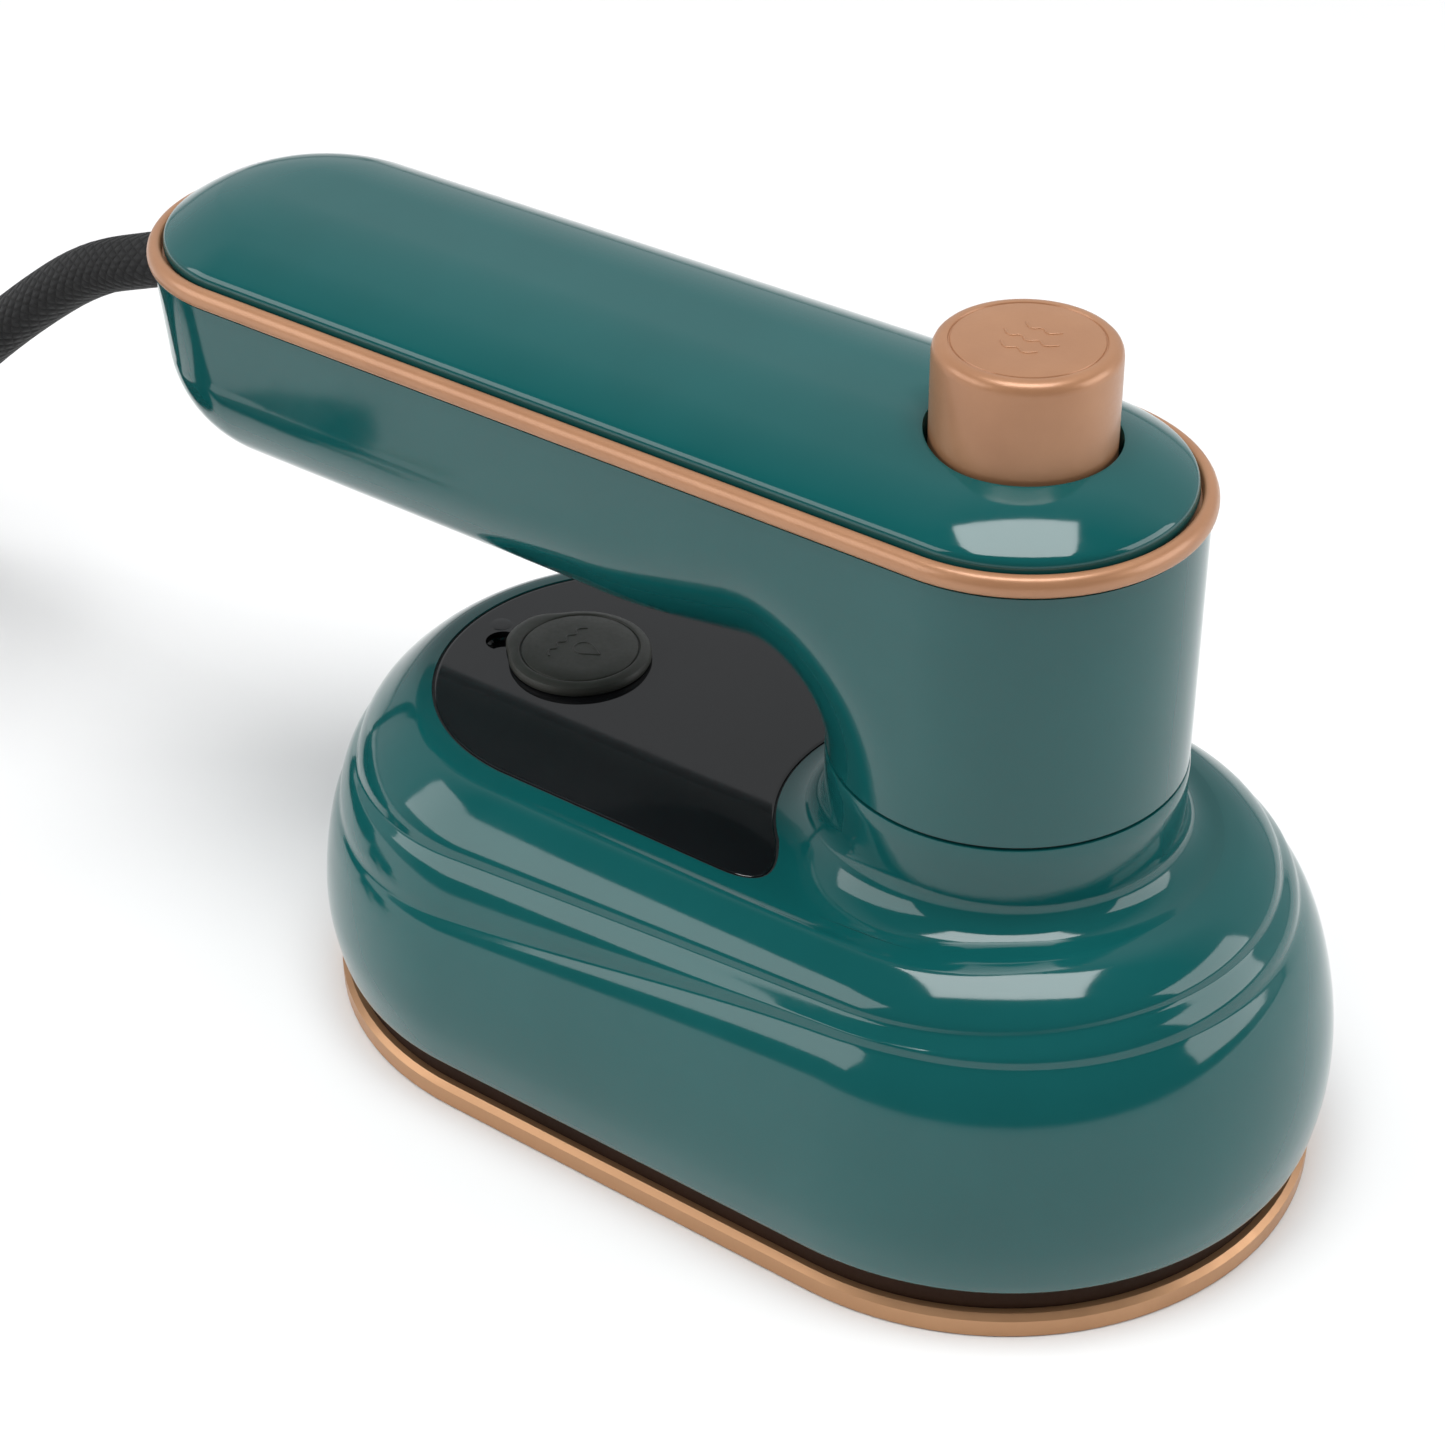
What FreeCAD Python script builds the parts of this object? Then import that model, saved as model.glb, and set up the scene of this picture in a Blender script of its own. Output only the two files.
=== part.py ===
import FreeCAD, Part
import math
import os
import Sketcher

from FreeCAD import Placement, Rotation, Vector

# A small steam iron whose handle swivels about the upright neck at the front of its base.
# Millimetres. The origin is the centre of the sole face, +Z is up and +X points to the neck.

SIZES = {
    # Plan: the base is a stadium about two end centres, and the neck stands on the front one.
    "base_reach": 28.0,
    "sole_radius": 40.2,
    "sole_thick": 3.0,
    "sole_bevel": 0.7,
    "island_radius": 34.0,
    "island_top": 9.5,
    "chamber_radius": 19.6,
    "chamber_floor": 4.6,
    "vent_radius": 1.1,
    "vent_ring": 13.0,
    "vent_step": 14.0,
    "vent_tip_side": 3.6,
    # Heater and steam chamber
    "heater_radius": 3.2,
    "heater_line": 27.0,
    "heater_height": 6.3,
    "heater_end": 43.0,
    "channel_half": 3.3,
    "channel_floor": 3.1,
    "lid_radius": 23.2,
    "gasket_thick": 0.8,
    "lid_thick": 1.7,
    "lid_screw_line": 21.4,
    # Skirt and green shell
    "skirt_radius": 38.7,
    "skirt_hole": 34.3,
    "skirt_bottom": 3.05,
    "skirt_top": 8.0,
    "shell_bottom": 7.2,
    "shell_foot": 40.7,
    "foot_relief": 1.9,
    "shell_belly": 41.9,
    "belly_height": 13.0,
    "foot_curve": 12.0,
    "side_curve": 64.0,
    "crease_low_radius": 37.5,
    "crease_low": 32.3,
    "tier_low_curve": 12.0,
    "crease_high_radius": 34.8,
    "crease_high": 37.8,
    "tier_high_curve": 9.0,
    "shoulder_radius": 31.2,
    "shoulder": 41.8,
    "deck_edge": 27.6,
    "deck_curve": 6.0,
    "deck": 43.6,
    "shell_wall": 2.2,
    "boss_line": 36.6,
    "boss_radius": 2.4,
    "boss_top": 24.0,
    # Collar that carries the neck
    "collar_radius": 21.4,
    "collar_top": 57.0,
    "collar_foot": 28.6,
    "collar_rise": 50.4,
    "collar_curve": 8.2,
    "collar_bore": 18.5,
    "ledge": 47.8,
    "ring_room": 20.6,
    # Tank, window and filler stopper
    "tank_radius": 22.0,
    "tank_front": 4.0,
    "tank_floor": 19.0,
    "tank_wall": 1.4,
    "window_radius": 25.4,
    "window_front_arc": 29.0,
    "window_thick": 2.1,
    "window_gap": 0.25,
    "window_front": 6.5,
    "port_x": 36.5,
    "port_bore": 7.0,
    "port_wall": 1.3,
    "port_depth": 4.0,
    "stopper_radius": 9.5,
    "stopper_thick": 2.2,
    "stopper_skirt": 6.5,
    "stopper_skirt_depth": 2.0,
    "stopper_hinge_x": 47.2,
    "stopper_lift": 0.1,
    "anchor_radius": 1.6,
    "anchor_back": 2.6,
    "cap_back": 1.8,
    "cap_front": 2.3,
    "tongue_length": 4.0,
    "tongue_width": 6.0,
    # Neck and swivel
    "neck_bottom": 57.4,
    "spigot_radius": 18.2,
    "spigot_bore": 14.6,
    "spigot_bottom": 47.5,
    "ring_radius": 20.2,
    "ring_thick": 2.2,
    "ring_screw_line": 16.4,
    "washer_thick": 0.3,
    "neck_floor": 60.0,
    # Handle
    "handle_back": 77.25,
    "handle_radius": 21.3,
    "handle_waist": 20.5,
    "handle_wall": 2.0,
    "under": 64.0,
    "under_flat": 5.2,
    "under_curve": 15.3,
    "trim_bottom": 90.3,
    "trim_top": 93.0,
    "trim_bulge": 0.5,
    "trim_inset": 1.3,
    "trim_hold": 2.4,
    "cover_edge": 19.8,
    "cover_shoulder": 13.0,
    "cover_shoulder_height": 98.0,
    "cover_curve": 9.0,
    "cover_top": 99.0,
    "cover_flat": 5.0,
    "crown_curve": 60.0,
    "cover_lip": 2.0,
    "cover_hole": 11.0,
    "lip_reach": 14.0,
    "gland_room": 16.0,
    "gland_side": 9.2,
    # Button, pump and valves
    "button_radius": 10.5,
    "button_top": 110.0,
    "button_bottom": 93.5,
    "button_wall": 1.5,
    "button_roof": 2.5,
    "button_edge": 1.2,
    "button_flange": 12.2,
    "flange_thick": 1.2,
    "groove_radius": 8.6,
    "groove_width": 0.3,
    "groove_depth": 0.35,
    "pump_outer": 6.5,
    "pump_bore": 4.5,
    "pump_top": 90.0,
    "pump_flange": 18.8,
    "rod_radius": 2.0,
    "piston_radius": 4.4,
    "piston_bottom": 78.0,
    "piston_length": 6.0,
    "seal_height": 81.0,
    "spring_radius": 5.0,
    "spring_wire": 0.5,
    "spring_turns": 5.0,
    "valve_radius": 6.0,
    "valve_bottom": 53.0,
    "valve_spigot": 3.0,
    "ball_radius": 1.4,
    "coupling_radius": 8.0,
    "coupling_bottom": 44.0,
    "coupling_top": 52.6,
    "coupling_gap": 0.05,
    # Hoses, leads and mains connection
    "hose_radius": 1.8,
    "hose_side": 2.8,
    "hose_height": 24.0,
    "hose_bend": 7.0,
    "lead_radius": 1.1,
    "lead_x": 24.0,
    "lead_near": 8.5,
    "lead_far": 12.0,
    "lead_bend": 5.0,
    "lead_join": 46.9,
    "lead_low": 13.7,
    "lead_high": 78.0,
    "thermostat_radius": 7.5,
    "thermostat_x": 22.0,
    "thermostat_tall": 5.0,
    "thermostat_step": 1.5,
    "fuse_radius": 1.6,
    "fuse_length": 10.0,
    "fuse_end": 2.0,
    "block_back": 72.0,
    "block_length": 13.0,
    "block_width": 11.5,
    "block_tall": 9.0,
    "terminal_tall": 3.5,
    "clamp_back": 8.0,
    "clamp_length": 5.0,
    "clamp_width": 18.0,
    "clamp_screw_side": 6.6,
    # Screws
    "screw_radius": 1.0,
    "screw_head": 1.8,
    "screw_head_tall": 1.1,
    "case_screw_radius": 1.4,
    "case_screw_head": 2.6,
    "case_screw_front": 8.0,
    "case_screw_back": 48.0,
    "post_radius": 3.8,
    # Cord: a round braided lead, its coil and its plug
    "cord_radius": 3.75,
    "exit_x": 98.1,
    "exit_height": 83.6,
    "exit_tilt": 20.7,
    "exit_cosine": 0.93544,
    "exit_sine": 0.35347,
    "gland_neck": 4.6,
    "gland_flange": 5.8,
    "gland_tip": 4.7,
    "gland_length": 11.0,
    "gland_inside": 6.0,
    "coil_x": 204.0,
    "coil_y": 32.0,
    "coil_inner": 32.5,
    "coil_outer": 47.5,
    "coil_tall": 22.5,
    "coil_line": 43.75,
    "coil_edge": 3.4,
    "tie_width": 9.0,
    "tie_thick": 0.9,
    "tail_start": 17.0,
    "tail_end": 40.0,
    "plug_height": 7.2,
    "plug_length": 34.0,
    "plug_width": 34.0,
    "plug_back_width": 12.0,
    "plug_thick": 14.0,
    "plug_edge": 3.0,
    "pin_radius": 2.0,
    "pin_length": 19.0,
    "pin_side": 9.5,
    # Cutting tools that reach past the part they cut
    "cut_room": 40.0,
    "drill_long": 20.0,
}

doc = FreeCAD.newDocument("swivel_steam_iron")
sheet = doc.addObject("Spreadsheet::Sheet", "Sizes")
subparts = []


def fill_sheet():
    """Writes each driving size as a plain number with its name as alias."""
    for row, (name, value) in enumerate(SIZES.items(), start=1):
        sheet.set("A%d" % row, name)
        sheet.set("B%d" % row, str(value))
        sheet.setAlias("B%d" % row, name)
    doc.recompute()


# ---- Sums of sizes, as numbers and as expressions -------------------------------------------


def amount(sum_text):
    """The value of a sum of sizes, such as "deck - 2*shell_wall"."""
    total = 0.0
    sign = 1.0
    for word in sum_text.split():
        if word in ("+", "-"):
            sign = -1.0 if word == "-" else 1.0
            continue
        product = sign
        for factor in word.split("*"):
            product *= float(sheet.get(factor)) if factor in SIZES else float(factor)
        total += product
        sign = 1.0
    return total


def bound(sum_text):
    """The same sum as an expression on the sheet's cells."""
    words = []
    for word in sum_text.split():
        factors = ["Sizes." + name if name in SIZES else name for name in word.split("*")]
        words.append("*".join(factors))
    return " ".join(words)


def negative(sum_text):
    """The sum with every sign turned round."""
    swapped = {"+": "-", "-": "+"}
    return "0 - " + " ".join(swapped.get(word, word) for word in sum_text.split())


# ---- Sketches -------------------------------------------------------------------------------


def new_sketch(body, role, shift=("0", "0", "0")):
    """A sketch on one of the body's own origin planes, moved within that plane's axes."""
    plane = next(feature for feature in body.Origin.OriginFeatures if feature.Role == role)
    sketch = body.newObject("Sketcher::SketchObject", body.Name + "_sketch")
    sketch.AttachmentSupport = (plane, "")
    sketch.MapMode = "FlatFace"
    for axis, sum_text in zip("xyz", shift):
        sketch.setExpression("AttachmentOffset.Base." + axis, bound(sum_text))
    return sketch


def tie_point(sketch, edge, end, across=None, up=None):
    """Places one end, or the centre (end 3), of an edge by its two sizes."""
    for kind, axis, sum_text in (("DistanceX", -2, across), ("DistanceY", -1, up)):
        if sum_text is None:
            continue
        value = amount(sum_text)
        if value == 0:
            sketch.addConstraint(Sketcher.Constraint("PointOnObject", edge, end, axis))
            continue
        if value > 0:
            index = sketch.addConstraint(Sketcher.Constraint(kind, -1, 1, edge, end, value))
            sketch.setExpression("Constraints[%d]" % index, bound(sum_text))
        else:
            index = sketch.addConstraint(Sketcher.Constraint(kind, edge, end, -1, 1, -value))
            sketch.setExpression("Constraints[%d]" % index, bound(negative(sum_text)))


def tie_radius(sketch, edge, radius):
    index = sketch.addConstraint(Sketcher.Constraint("Radius", edge, amount(radius)))
    sketch.setExpression("Constraints[%d]" % index, bound(radius))


def arc_between(start, end, radius, side):
    """The arc from start to end whose centre is on the left (side 1) or the right (side -1)."""
    chord = end - start
    left = Vector(-chord.y, chord.x, 0).normalize()
    height = math.sqrt(max(radius**2 - (chord.Length / 2) ** 2, 0.0))
    centre = (start + end) * 0.5 + left * (side * height)
    first, last = (start, end) if side > 0 else (end, start)
    angles = [math.atan2(point.y - centre.y, point.x - centre.x) for point in (first, last)]
    return Part.ArcOfCircle(Part.Circle(centre, Vector(0, 0, 1), radius), *angles)


def draw(sketch, corners, mirrored=False):
    """Draws a closed outline and ties every corner to the sheet.

    A corner is (across, up) at the end of a straight edge, or (across, up, radius, side) at the
    end of an arc. A mirrored outline is the same one with across turned round.
    """
    across = [negative(corner[0]) if mirrored else corner[0] for corner in corners]
    spots = [Vector(amount(x), amount(corner[1]), 0) for x, corner in zip(across, corners)]
    ends = []
    for index, corner in enumerate(corners):
        start, end = spots[index - 1], spots[index]
        if len(corner) == 2:
            sketch.addGeometry(Part.LineSegment(start, end), False)
            ends.append((1, 2))
            continue
        side = -corner[3] if mirrored else corner[3]
        sketch.addGeometry(arc_between(start, end, amount(corner[2]), side), False)
        ends.append((1, 2) if side > 0 else (2, 1))
    base = sketch.GeometryCount - len(corners)
    for index, corner in enumerate(corners):
        previous = index - 1 if index else len(corners) - 1
        joint = (base + previous, ends[previous][1], base + index, ends[index][0])
        sketch.addConstraint(Sketcher.Constraint("Coincident", *joint))
        chord = (spots[index] - spots[index - 1]).Length
        half_circle = len(corner) == 4 and abs(chord - 2 * amount(corner[2])) < 1e-6
        if half_circle:
            tie_point(sketch, base + index, 3, across=across[index])
        elif len(corner) == 4:
            tie_radius(sketch, base + index, corner[2])
        tie_point(sketch, base + index, ends[index][1], across[index], corner[1])


def draw_circle(sketch, radius, across="0", up="0"):
    centre = Vector(amount(across), amount(up), 0)
    edge = sketch.addGeometry(Part.Circle(centre, Vector(0, 0, 1), amount(radius)), False)
    tie_radius(sketch, edge, radius)
    tie_point(sketch, edge, 3, across, up)


def stadium(radius, back="0 - base_reach", front="base_reach"):
    """The corners of a stadium in plan, about two centres on the X axis."""
    return [
        (front, negative(radius)),
        (front, radius, radius, 1),
        (back, radius),
        (back, negative(radius), radius, 1),
    ]


# ---- Features -------------------------------------------------------------------------------


def new_body(label):
    body = doc.addObject("PartDesign::Body", label)
    body.Label = label
    return body


def pad(body, sketch, length):
    """Pads a sketch along its plane's normal."""
    feature = body.newObject("PartDesign::Pad", body.Name + "_pad")
    feature.Profile = sketch
    feature.setExpression("Length", bound(length))
    sketch.Visibility = False
    return feature


def pocket(body, sketch, depth):
    """Cuts a sketch against its plane's normal."""
    doc.recompute()
    feature = body.newObject("PartDesign::Pocket", body.Name + "_pocket")
    feature.Profile = sketch
    feature.setExpression("Length", bound(depth))
    doc.recompute()
    if feature.Shape.Volume >= feature.BaseFeature.Shape.Volume - 1e-6:
        raise RuntimeError(feature.Name + " cuts nothing")
    return feature


def revolve(body, sketch, angle=360.0):
    """Turns a sketch about its own upright axis, half the angle to each side."""
    feature = body.newObject("PartDesign::Revolution", body.Name + "_turn")
    feature.Profile = sketch
    feature.ReferenceAxis = (sketch, ["V_Axis"])
    feature.Angle = angle
    feature.Midplane = True
    return feature


def flat_stadium(label, radius, bottom, height, hole=None, **ends):
    """A flat plate of stadium plan, with a stadium hole if one is given."""
    body = new_body(label)
    sketch = new_sketch(body, "XY_Plane", ("0", "0", bottom))
    draw(sketch, stadium(radius, **ends))
    if hole:
        draw(sketch, stadium(hole, **ends))
    pad(body, sketch, height)
    return body


def stadium_solid(label, corners, back="0 - base_reach", front="base_reach"):
    """A closed form with one upright profile all round a stadium plan."""
    body = new_body(label)
    nose = new_sketch(body, "XZ_Plane", (front, "0", "0"))
    draw(nose, corners)
    revolve(body, nose, 180.0)
    for mirrored in (False, True):
        flank = new_sketch(body, "YZ_Plane", ("0", "0", back))
        draw(flank, corners, mirrored)
        pad(body, flank, front + " + " + back.replace("0 - ", ""))
    tail = new_sketch(body, "XZ_Plane", (back, "0", "0"))
    draw(tail, corners, mirrored=True)
    revolve(body, tail, 180.0)
    return body


def turned(label, corners, centre="base_reach"):
    """A piece turned about the upright line through the centre on the X axis."""
    body = new_body(label)
    sketch = new_sketch(body, "XZ_Plane", (centre, "0", "0"))
    draw(sketch, corners)
    revolve(body, sketch)
    return body


def primitive(kind, label, place=("0", "0", "0"), turn=Rotation(), **sizes):
    """A Part primitive with its sizes and its position bound to the sheet."""
    piece = doc.addObject("Part::" + kind, label)
    piece.Label = label
    for name, sum_text in sizes.items():
        piece.setExpression(name, bound(sum_text))
    piece.Placement = Placement(Vector(), turn)
    for axis, sum_text in zip("xyz", place):
        piece.setExpression("Placement.Base." + axis, bound(sum_text))
    return piece


def fuse(label, pieces):
    joined = doc.addObject("Part::MultiFuse", label)
    joined.Label = label
    joined.Shapes = pieces
    return joined


def cut(label, base, tools):
    """The base with the tools taken away, checked to have lost something."""
    tool = tools[0] if len(tools) == 1 else fuse(label + "_tools", tools)
    result = doc.addObject("Part::Cut", label)
    result.Label = label
    result.Base = base
    result.Tool = tool
    doc.recompute()
    if result.Shape.Volume >= base.Shape.Volume - 1e-6:
        raise RuntimeError(label + " lost nothing in its cut")
    return result


def keep(piece):
    """Marks a finished sub-part, whose label is its node's name."""
    subparts.append(piece)
    return piece


def screws(label, spots, head_low, shank_low, shank_tall, radius="screw_radius", head="screw_head"):
    """Identical upright screws: a head and a shank at each spot."""
    pieces = []
    for number, (across, side) in enumerate(spots):
        name = "%s_%d" % (label, number)
        cap = primitive("Cylinder", name + "_head", (across, side, head_low), Radius=head,
                        Height="screw_head_tall")
        shank = primitive("Cylinder", name + "_shank", (across, side, shank_low), Radius=radius,
                          Height=shank_tall)
        pieces.append(fuse(name, [cap, shank]))
    return keep(fuse(label, pieces))


def pins(label, spots, low, tall, radius):
    """Upright cylinders at each spot, as tools for holes or bosses."""
    return [
        primitive("Cylinder", "%s_%d" % (label, number), (across, side, low), Radius=radius, Height=tall)
        for number, (across, side) in enumerate(spots)
    ]


def four_spots(across, side):
    """Four spots, one in each quarter of the plan."""
    return [(x, y) for x in (across, negative(across)) for y in (side, negative(side))]


def section_tube(points, radius, bend=None):
    """A round tube along straight runs joined by tangent arcs.

    Without a bend radius each arc takes 0.45 of its shorter run. Gives the solid and the radii.
    """
    edges = []
    radii = []
    start = points[0]
    for before, corner, after in zip(points, points[1:], points[2:]):
        inward = (corner - before).normalize()
        outward = (after - corner).normalize()
        half = inward.getAngle(outward) / 2
        shorter = min((corner - before).Length, (after - corner).Length)
        reach = bend * math.tan(half) if bend else 0.45 * shorter
        radii.append(reach / math.tan(half))
        entry = corner - inward * reach
        leave = corner + outward * reach
        inside = (outward - inward).normalize()
        centre = corner + inside * (radii[-1] / math.cos(half))
        edges.append(Part.LineSegment(start, entry).toShape())
        edges.append(Part.Arc(entry, centre - inside * radii[-1], leave).toShape())
        start = leave
    edges.append(Part.LineSegment(start, points[-1]).toShape())
    spine = Part.Wire(edges)
    direction = (points[1] - points[0]).normalize()
    ring = Part.Wire(Part.Circle(points[0], direction, radius).toShape())
    solid = spine.makePipeShell([ring], True, False)
    expected = math.pi * radius**2 * spine.Length
    if abs(solid.Volume - expected) > 0.01 * expected:
        raise RuntimeError("a tube's volume isn't its section times its length")
    return solid, radii, spine.Length


def free_piece(label, shape, place=Vector()):
    """A sub-part whose shape comes from Part's own functions."""
    piece = doc.addObject("Part::Feature", label)
    piece.Label = label
    piece.Shape = shape
    piece.Placement = Placement(place, Rotation())
    return keep(piece)


def spot(across, side, height):
    return Vector(amount(across), amount(side), amount(height))


# ---- Soleplate, heater and steam chamber ----------------------------------------------------


def soleplate():
    """A bevelled plate with a raised island, the steam chamber, the heater's channel and vents."""
    body = new_body("soleplate")
    outline = new_sketch(body, "XY_Plane")
    draw(outline, stadium("sole_radius"))
    plate = pad(body, outline, "sole_thick")
    doc.recompute()
    bevel = body.newObject("PartDesign::Chamfer", "sole_bevelled")
    rims = []
    for number, edge in enumerate(plate.Shape.Edges, start=1):
        if all(abs(vertex.Z - amount("sole_thick")) < 1e-6 for vertex in edge.Vertexes):
            rims.append("Edge%d" % number)
    bevel.Base = (plate, rims)
    bevel.setExpression("Size", bound("sole_bevel"))
    island = new_sketch(body, "XY_Plane", ("0", "0", "sole_thick - 0.5"))
    draw(island, stadium("island_radius"))
    pad(body, island, "island_top - sole_thick + 0.5")
    chamber = new_sketch(body, "XY_Plane", ("0", "0", "island_top"))
    draw(chamber, stadium("chamber_radius"))
    pocket(body, chamber, "island_top - chamber_floor")
    channel = new_sketch(body, "XY_Plane", ("0", "0", "island_top"))
    draw(channel, heater_channel())
    pocket(body, channel, "island_top - channel_floor")
    vents = new_sketch(body, "XY_Plane", ("0", "0", "chamber_floor"))
    for across, side in vent_spots():
        draw_circle(vents, "vent_radius", across, side)
    pocket(body, vents, "chamber_floor + 1")
    holes = pins("lid_thread", lid_screw_spots(), "island_top - 3", "4", "screw_radius")
    holes += pins("skirt_thread", sole_screw_spots(), "0.8", "3", "screw_radius")
    plain = body
    plain.Label = "sole_casting"
    return keep(cut("soleplate", plain, holes))


def heater_channel():
    """The plan of the U that the heater lies in, open at the back."""
    outer = "heater_line + channel_half"
    inner = "heater_line - channel_half"
    legs = "0 - heater_end"
    return [
        ("base_reach", negative(outer)),
        ("base_reach", outer, outer, 1),
        (legs, outer),
        (legs, inner),
        ("base_reach", inner),
        ("base_reach", negative(inner), inner, -1),
        (legs, negative(inner)),
        (legs, negative(outer)),
    ]


def vent_spots():
    """Steam vents: a row along each side, two in front and two behind."""
    spots = []
    for step in (-2, -1, 0, 1, 2):
        spots += [("%d*vent_step" % step, side) for side in ("vent_ring", "0 - vent_ring")]
    for reach in ("base_reach + vent_ring", "0 - base_reach - vent_ring"):
        spots += [(reach, "vent_tip_side"), (reach, "0 - vent_tip_side")]
    return spots


def lid_screw_spots():
    return four_spots("base_reach - 4", "lid_screw_line")


def sole_screw_spots():
    return four_spots("0.25*base_reach", "boss_line")


def shell_screw_spots():
    return four_spots("base_reach - 6", "boss_line")


def heating_element():
    """A U-shaped tubular heater pressed into the island's channel."""
    bend = primitive("Torus", "heater_bend", ("base_reach", "0", "heater_height"),
                     Rotation(Vector(0, 0, 1), -90), Radius1="heater_line", Radius2="heater_radius",
                     Angle3="180")
    legs = [
        primitive("Cylinder", "heater_leg_%d" % number, ("base_reach", side, "heater_height"),
                  Rotation(Vector(0, 1, 0), -90), Radius="heater_radius",
                  Height="base_reach + heater_end - 1")
        for number, side in enumerate(("heater_line", "0 - heater_line"))
    ]
    return keep(fuse("heating_element", [bend] + legs))


def steam_chamber():
    """The gasket and the lid that close the steam chamber, with the lid's screws."""
    gasket = flat_stadium("gasket_blank", "lid_radius", "island_top", "gasket_thick", "chamber_radius")
    holes = pins("gasket_hole", lid_screw_spots(), "island_top - 1", "3", "screw_radius")
    keep(cut("chamber_gasket", gasket, holes))
    lid_low = "island_top + gasket_thick"
    lid = flat_stadium("lid_blank", "lid_radius", lid_low, "lid_thick")
    openings = pins("lid_hole", lid_screw_spots(), "island_top", "4", "screw_radius")
    openings += pins("lid_inlet", [("base_reach", "0 - hose_side")], "island_top", "4", "hose_radius")
    keep(cut("steam_chamber_lid", lid, openings))
    top = lid_low + " + lid_thick"
    screws("lid_screws", lid_screw_spots(), top, "island_top - 3", "3 + gasket_thick + lid_thick")


def temperature_controls():
    """The bimetal thermostat and the thermal fuse, both lying on the chamber's lid."""
    top = "island_top + gasket_thick + lid_thick"
    disc = primitive("Cylinder", "thermostat_case", ("0 - thermostat_x", "0 - lead_near", top),
                     Radius="thermostat_radius", Height="thermostat_tall - thermostat_step")
    cap = primitive("Cylinder", "thermostat_cap",
                    ("0 - thermostat_x", "0 - lead_near", top + " + thermostat_tall - thermostat_step"),
                    Radius="thermostat_radius - 2", Height="thermostat_step")
    keep(fuse("thermostat", [disc, cap]))
    keep(primitive("Cylinder", "thermal_fuse", ("0 - fuse_end", "0 - lead_far", "lead_low"),
                   Rotation(Vector(0, 1, 0), -90), Radius="fuse_radius", Height="fuse_length"))


# ---- Skirt, shell and collar ----------------------------------------------------------------


def insulating_skirt():
    """The heat-resistant ring between the soleplate and the green shell."""
    ring = flat_stadium("skirt_blank", "skirt_radius", "skirt_bottom", "skirt_top - skirt_bottom",
                        "skirt_hole")
    holes = pins("skirt_hole_sole", sole_screw_spots(), "2", "8", "screw_radius")
    holes += pins("skirt_hole_shell", shell_screw_spots(), "2", "8", "screw_radius")
    holes += pins("skirt_recess", shell_screw_spots(), "2", "1.05 + screw_head_tall + 0.1", "screw_head")
    keep(cut("insulating_skirt", ring, holes))
    screws("sole_screws", sole_screw_spots(), "skirt_top", "0.8", "skirt_top - 0.8")
    screws("shell_screws", shell_screw_spots(), "skirt_bottom + 0.05", "skirt_bottom + 0.05", "11")


def base_shell():
    """The stepped green dome with the collar that carries the neck."""
    dome = stadium_solid("dome_form", [
        ("0", "deck"),
        ("0", "shell_bottom"),
        ("shell_foot", "shell_bottom"),
        ("shell_belly", "belly_height", "foot_curve", 1),
        ("crease_low_radius", "crease_low", "side_curve", 1),
        ("crease_high_radius", "crease_high", "tier_low_curve", 1),
        ("shoulder_radius", "shoulder", "tier_high_curve", 1),
        ("deck_edge", "deck", "deck_curve", 1),
    ])
    collar = turned("collar_form", [
        ("0", "collar_top"),
        ("0", "deck - shell_wall"),
        ("collar_foot", "deck - shell_wall"),
        ("collar_foot", "deck"),
        ("collar_radius", "collar_rise", "collar_curve", -1),
        ("collar_radius", "collar_top"),
    ])
    hollow = stadium_solid("dome_hollow", [
        ("0", "deck - shell_wall"),
        ("0", "shell_bottom - 1"),
        ("shell_foot - foot_relief", "shell_bottom - 1"),
        ("shell_foot - foot_relief", "shell_bottom + 1"),
        ("shell_belly - shell_wall", "belly_height"),
        ("crease_low_radius - shell_wall", "crease_low - 1"),
        ("shoulder_radius - shell_wall", "shoulder - 2"),
        ("deck_edge - 1", "deck - shell_wall"),
    ])
    bore = turned("collar_hollow", [
        ("0", "collar_top + 1"),
        ("0", "deck - 2*shell_wall"),
        ("ring_room", "deck - 2*shell_wall"),
        ("ring_room", "ledge"),
        ("collar_bore", "ledge"),
        ("collar_bore", "collar_top + 1"),
    ])
    opening = window_plate("window_opening", "window_gap", "deck - 2*shell_wall", "3*shell_wall")
    solid = fuse("shell_solid", [dome, collar])
    open_shell = cut("shell_open", solid, [hollow, bore, opening])
    bosses = pins("shell_boss", shell_screw_spots(), "skirt_top", "boss_top - skirt_top", "boss_radius")
    with_bosses = fuse("shell_with_bosses", [open_shell] + bosses)
    threads = pins("shell_thread", shell_screw_spots(), "skirt_top - 1", "8", "screw_radius")
    return keep(cut("base_shell", with_bosses, threads))


def window_plate(label, margin, low, tall):
    """The window's outline: a stadium's back end, with a hollow front round the collar."""
    side = "window_radius + " + margin
    body = flat_stadium(label + "_blank", side, low, tall, front="10")
    arc = primitive("Cylinder", label + "_front", ("base_reach", "0", low + " - 1"),
                    Radius="window_front_arc - " + margin, Height=tall + " + 2")
    corner = primitive("Box", label + "_end", ("window_front + " + margin, "0 - cut_room", low + " - 1"),
                       Length="2*cut_room", Width="2*cut_room", Height=tall + " + 2")
    return cut(label, body, [arc, corner])


# ---- Tank, window and stopper ---------------------------------------------------------------


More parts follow.
